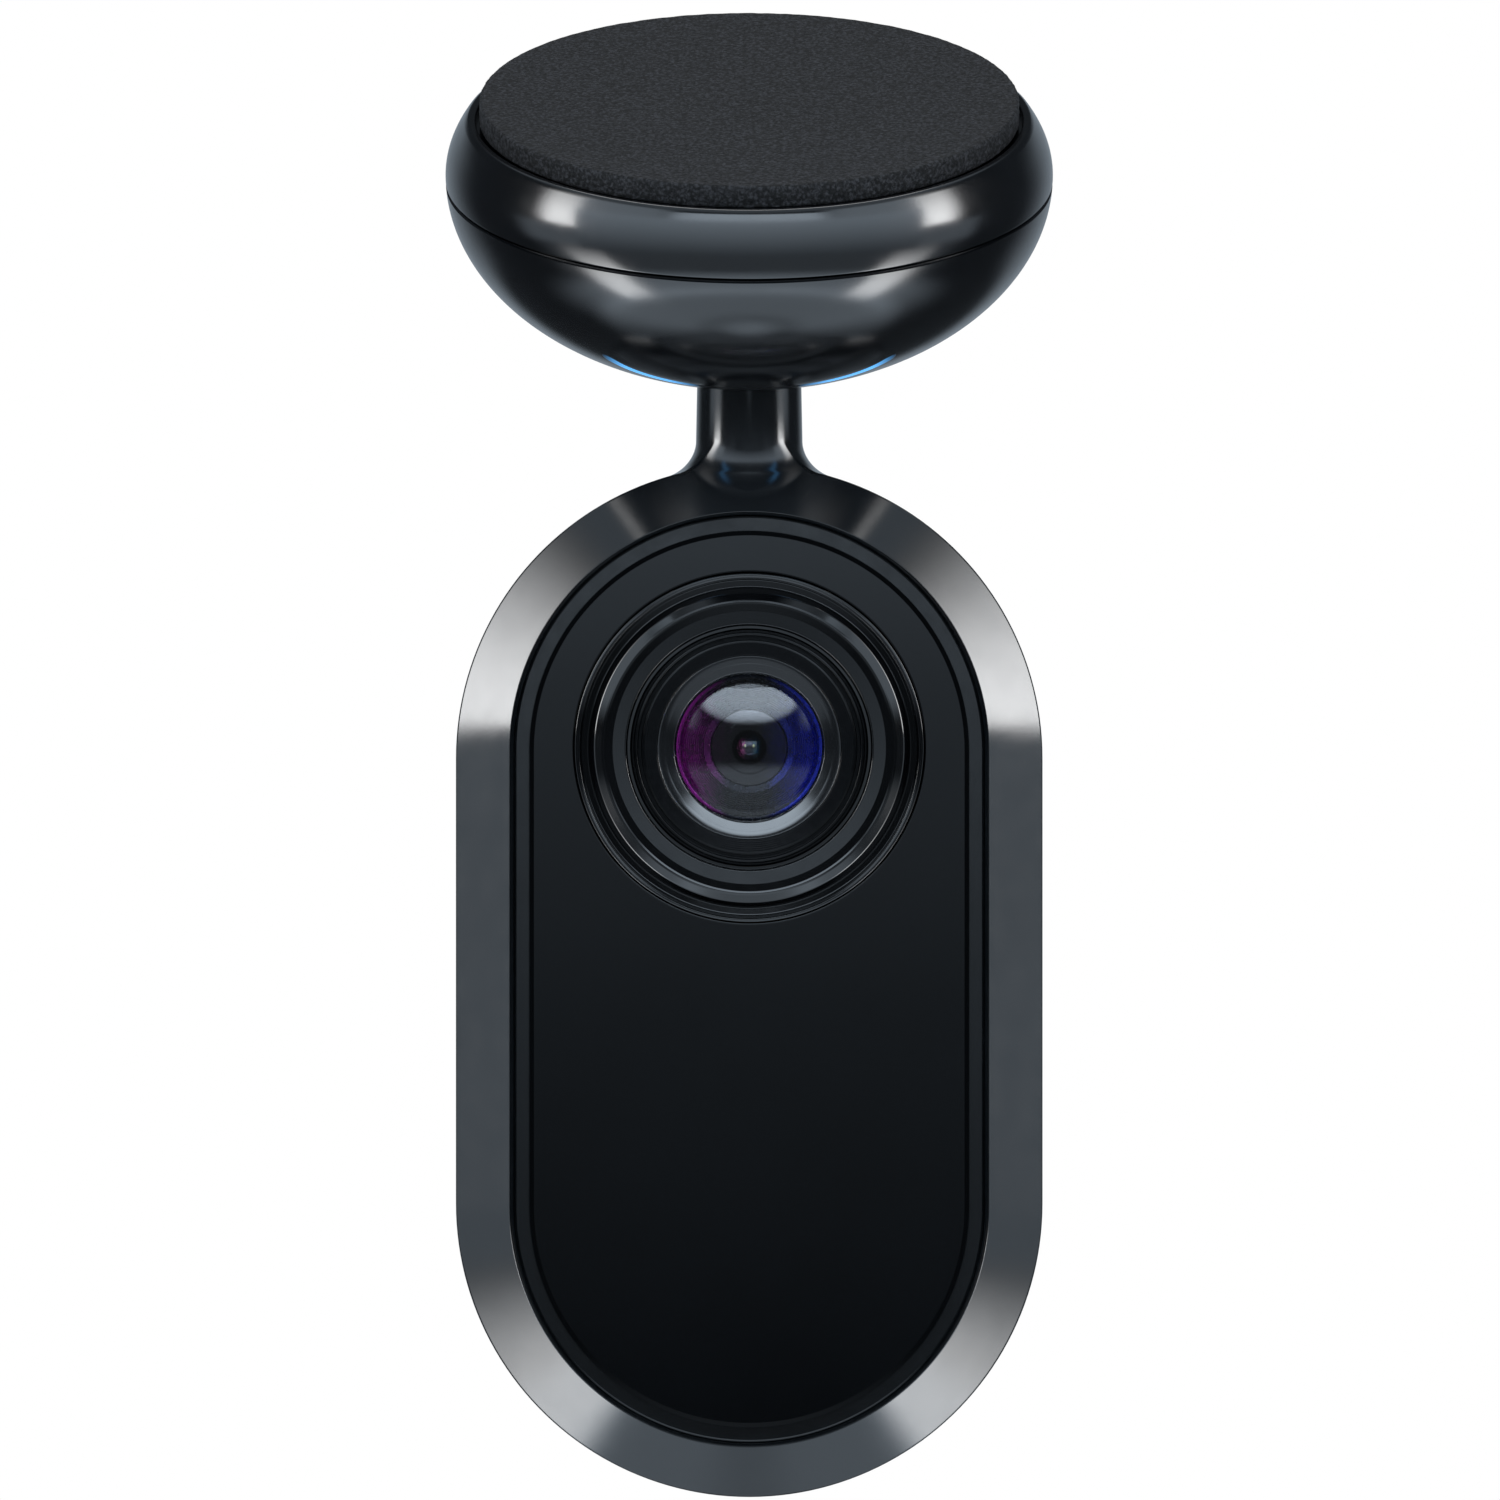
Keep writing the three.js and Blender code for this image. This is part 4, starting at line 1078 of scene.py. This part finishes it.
class Sky(Nodes):
    """World light: soft-edged panels placed by azimuth and elevation, in degrees, round the object."""

    def __init__(self, base):
        world = bpy.data.worlds.new("studio")
        bpy.context.scene.world = world
        world.use_nodes = True
        super().__init__(world.node_tree)
        self.tree.nodes.clear()
        way = self.split(self.node("ShaderNodeTexCoord").outputs["Generated"])
        self.azimuth = self.math("ARCTAN2", way["X"], self.math("MULTIPLY", way["Y"], -1.0))
        self.elevation = self.math("ARCSINE", way["Z"])
        self.totals = {"white": None, "cool": None}
        self.base = base

    def ramp(self, value, dark, bright):
        """Rises smoothly from 0 at dark to 1 at bright."""
        if dark > bright:
            value = self.math("MULTIPLY", value, -1.0)
            dark, bright = -dark, -bright
        made = self.node("ShaderNodeMapRange", interpolation_type="SMOOTHSTEP", From_Min=dark,
                         From_Max=bright)
        self.link(value, made.inputs["Value"])
        return made.outputs["Result"]

    def edge(self, value, dark, bright):
        return self.ramp(value, math.radians(dark), math.radians(bright))

    def add(self, shape, strength, tint):
        shape = self.math("MULTIPLY", shape, float(strength))
        total = self.totals[tint]
        self.totals[tint] = shape if total is None else self.math("ADD", total, shape)

    def panel(self, strength, left, right, low, high, tint="cool"):
        """Each side is (dark, bright) degrees: where the panel starts and where it is full."""
        shape = self.math("MULTIPLY", self.edge(self.azimuth, *left), self.edge(self.azimuth, *right))
        shape = self.math("MULTIPLY", shape, self.edge(self.elevation, *low))
        shape = self.math("MULTIPLY", shape, self.edge(self.elevation, *high))
        self.add(shape, strength, tint)

    def both_sides(self, strength, near, far, low, high, tint="cool"):
        self.panel(strength, near, far, low, high, tint)
        self.panel(strength, (-far[0], -far[1]), (-near[0], -near[1]), low, high, tint)

    def oval(self, strength, height, half_wide, half_tall, soft, low, tint="cool"):
        """Elliptical softbox straight ahead; soft is how far its edge fades, low where its foot does."""
        across = self.math("DIVIDE", self.azimuth, math.radians(half_wide))
        up = self.math("SUBTRACT", self.elevation, math.radians(height))
        up = self.math("DIVIDE", up, math.radians(half_tall))
        reach = self.math("ADD", self.math("MULTIPLY", across, across), self.math("MULTIPLY", up, up))
        rim = 1.15
        shape = self.math("MULTIPLY", self.ramp(reach, rim, rim - soft), self.edge(self.elevation, *low))
        self.add(shape, strength, tint)

    def close(self, backdrop):
        """Tints and adds up the panels; straight to the eye there is a plain backdrop instead."""
        tints = {"white": (0.98, 0.99, 1.0), "cool": (0.74, 0.87, 1.0)}
        cool = self.math("ADD", self.totals["cool"], self.base)
        colour = self.node("ShaderNodeCombineColor")
        for socket, warm, cold in zip(colour.inputs, tints["white"], tints["cool"]):
            both = self.math("ADD", self.math("MULTIPLY", self.totals["white"], warm),
                             self.math("MULTIPLY", cool, cold))
            self.link(both, socket)
        light = self.node("ShaderNodeBackground")
        self.link(colour.outputs[0], light.inputs["Color"])
        plain = self.node("ShaderNodeBackground", Color=(*backdrop, 1))
        path = self.node("ShaderNodeLightPath")
        mix = self.node("ShaderNodeMixShader")
        sources = (path.outputs["Is Camera Ray"], light.outputs[0], plain.outputs[0])
        for source, socket in zip(sources, mix.inputs):
            self.link(source, socket)
        self.link(mix.outputs[0], self.node("ShaderNodeOutputWorld").inputs["Surface"])


def lit_card(name, plan, foot, top, stops):
    """Upright emitting card over a plan line, graded from foot to top; it shows in reflections only."""
    verts = [(x, y, z) for x, y in plan for z in (foot, top)]
    faces = [(2 * k, 2 * k + 2, 2 * k + 3, 2 * k + 1) for k in range(len(plan) - 1)]
    mesh = bpy.data.meshes.new(name)
    mesh.from_pydata(verts, [], faces)
    card = new_object(name, mesh)
    material = bpy.data.materials.new(name)
    material.use_nodes = True
    s = Nodes(material.node_tree)
    s.tree.nodes.clear()
    height = s.split(s.node("ShaderNodeTexCoord").outputs["Object"])["Z"]
    grade = s.node("ShaderNodeValToRGB")
    while len(grade.color_ramp.elements) < len(stops):
        grade.color_ramp.elements.new(0.5)
    for element, (at, level) in zip(grade.color_ramp.elements, stops):
        element.position = at
        element.color = (0.72 * level, 0.86 * level, level, 1)
    span = s.node("ShaderNodeMapRange", From_Min=foot, From_Max=top)
    s.link(height, span.inputs["Value"])
    s.link(span.outputs["Result"], grade.inputs["Fac"])
    glow = s.node("ShaderNodeEmission", Strength=1.0)
    s.link(grade.outputs["Color"], glow.inputs["Color"])
    s.link(glow.outputs["Emission"], s.node("ShaderNodeOutputMaterial").inputs["Surface"])
    mesh.materials.append(material)
    for ray in ("camera", "shadow", "diffuse", "transmission"):
        setattr(card, "visible_" + ray, False)


def cards():
    """A flat card before the body and a curved one before the mount, each brighter towards its top."""
    ahead, half_wide = -0.45, 0.034
    foot, top = -0.105, -0.012
    lit_card("body_card", [(-half_wide, ahead), (half_wide, ahead)], foot, top,
             ((0.0, 0.03), (0.16, 0.07), (0.48, 0.26), (0.72, 0.55), (0.86, 1.0), (1.0, 1.0)))
    reach, swing = 0.036, 54
    foot, top = -0.0155, 0.001
    arc = [(reach * math.sin(t), -reach * math.cos(t)) for t in np.radians(np.linspace(-swing, swing, 37))]
    lit_card("disc_card", arc, foot, top, ((0.0, 0.3), (0.25, 0.6), (0.6, 1.1), (1.0, 1.7)))


def studio_light():
    """The panels: a strength, then where each of the edges starts and is full."""
    sky = Sky(0.05)
    # high and low boxes at the sides
    sky.both_sides(9.8, (64, 69), (86, 78), (4.3, 7.0), (56, 8), "white")
    sky.both_sides(5.3, (58, 62), (83, 75), (-9, -42), (-57, -50), "white")
    # front softbox and its wings
    sky.oval(3.0, 27, 30, 14, 0.45, (7, 26))
    sky.both_sides(1.25, (26, 36), (70, 66), (7, 18), (52, 42))
    sky.panel(0.45, (-181, -120), (181, 120), (46, 56), (95, 92))
    sky.panel(0.28, (-97, -80), (97, 80), (-42, -30), (-7, -14))
    # fill at the sides, bounce from below, pale surroundings behind
    sky.both_sides(0.66, (60, 68), (100, 90), (-16, -8), (6, 3))
    sky.panel(1.2, (-132, -72), (132, 72), (-33, -45), (-60, -52))
    sky.panel(0.95, (-150, -95), (150, 95), (-48, -56), (-86, -74))
    sky.panel(1.2, (-181, -180), (181, 180), (-78, -88), (-100, -95))
    sky.both_sides(0.4, (124, 156), (181, 180), (-24, -14), (26, 14))
    sky.close((1.0, 1.0, 1.0))
    cards()
    lamp = bpy.data.lights.new("overhead", "AREA")
    lamp.shape = "DISK"
    lamp.size = 0.5
    lamp.energy = 1.5
    new_object("overhead", lamp).location = (0, 0.15, 0.7)


def camera():
    """A long lens straight ahead; its frame is view_height across where the body's front stands."""
    view_height = 0.0971
    distance = 4.2
    aim_x, aim_z = 0.00005, -0.04218
    data = bpy.data.cameras.new("camera")
    data.sensor_width = 36
    data.lens = 36 * distance / view_height
    data.clip_end = 20
    cam = new_object("camera", data)
    cam.location = (aim_x, BODY_FRONT * MM - distance, aim_z)
    cam.rotation_euler = (math.radians(90), 0, 0)
    bpy.context.scene.camera = cam
    bpy.context.scene.view_settings.view_transform = "Standard"


studio_floor()
studio_light()
camera()
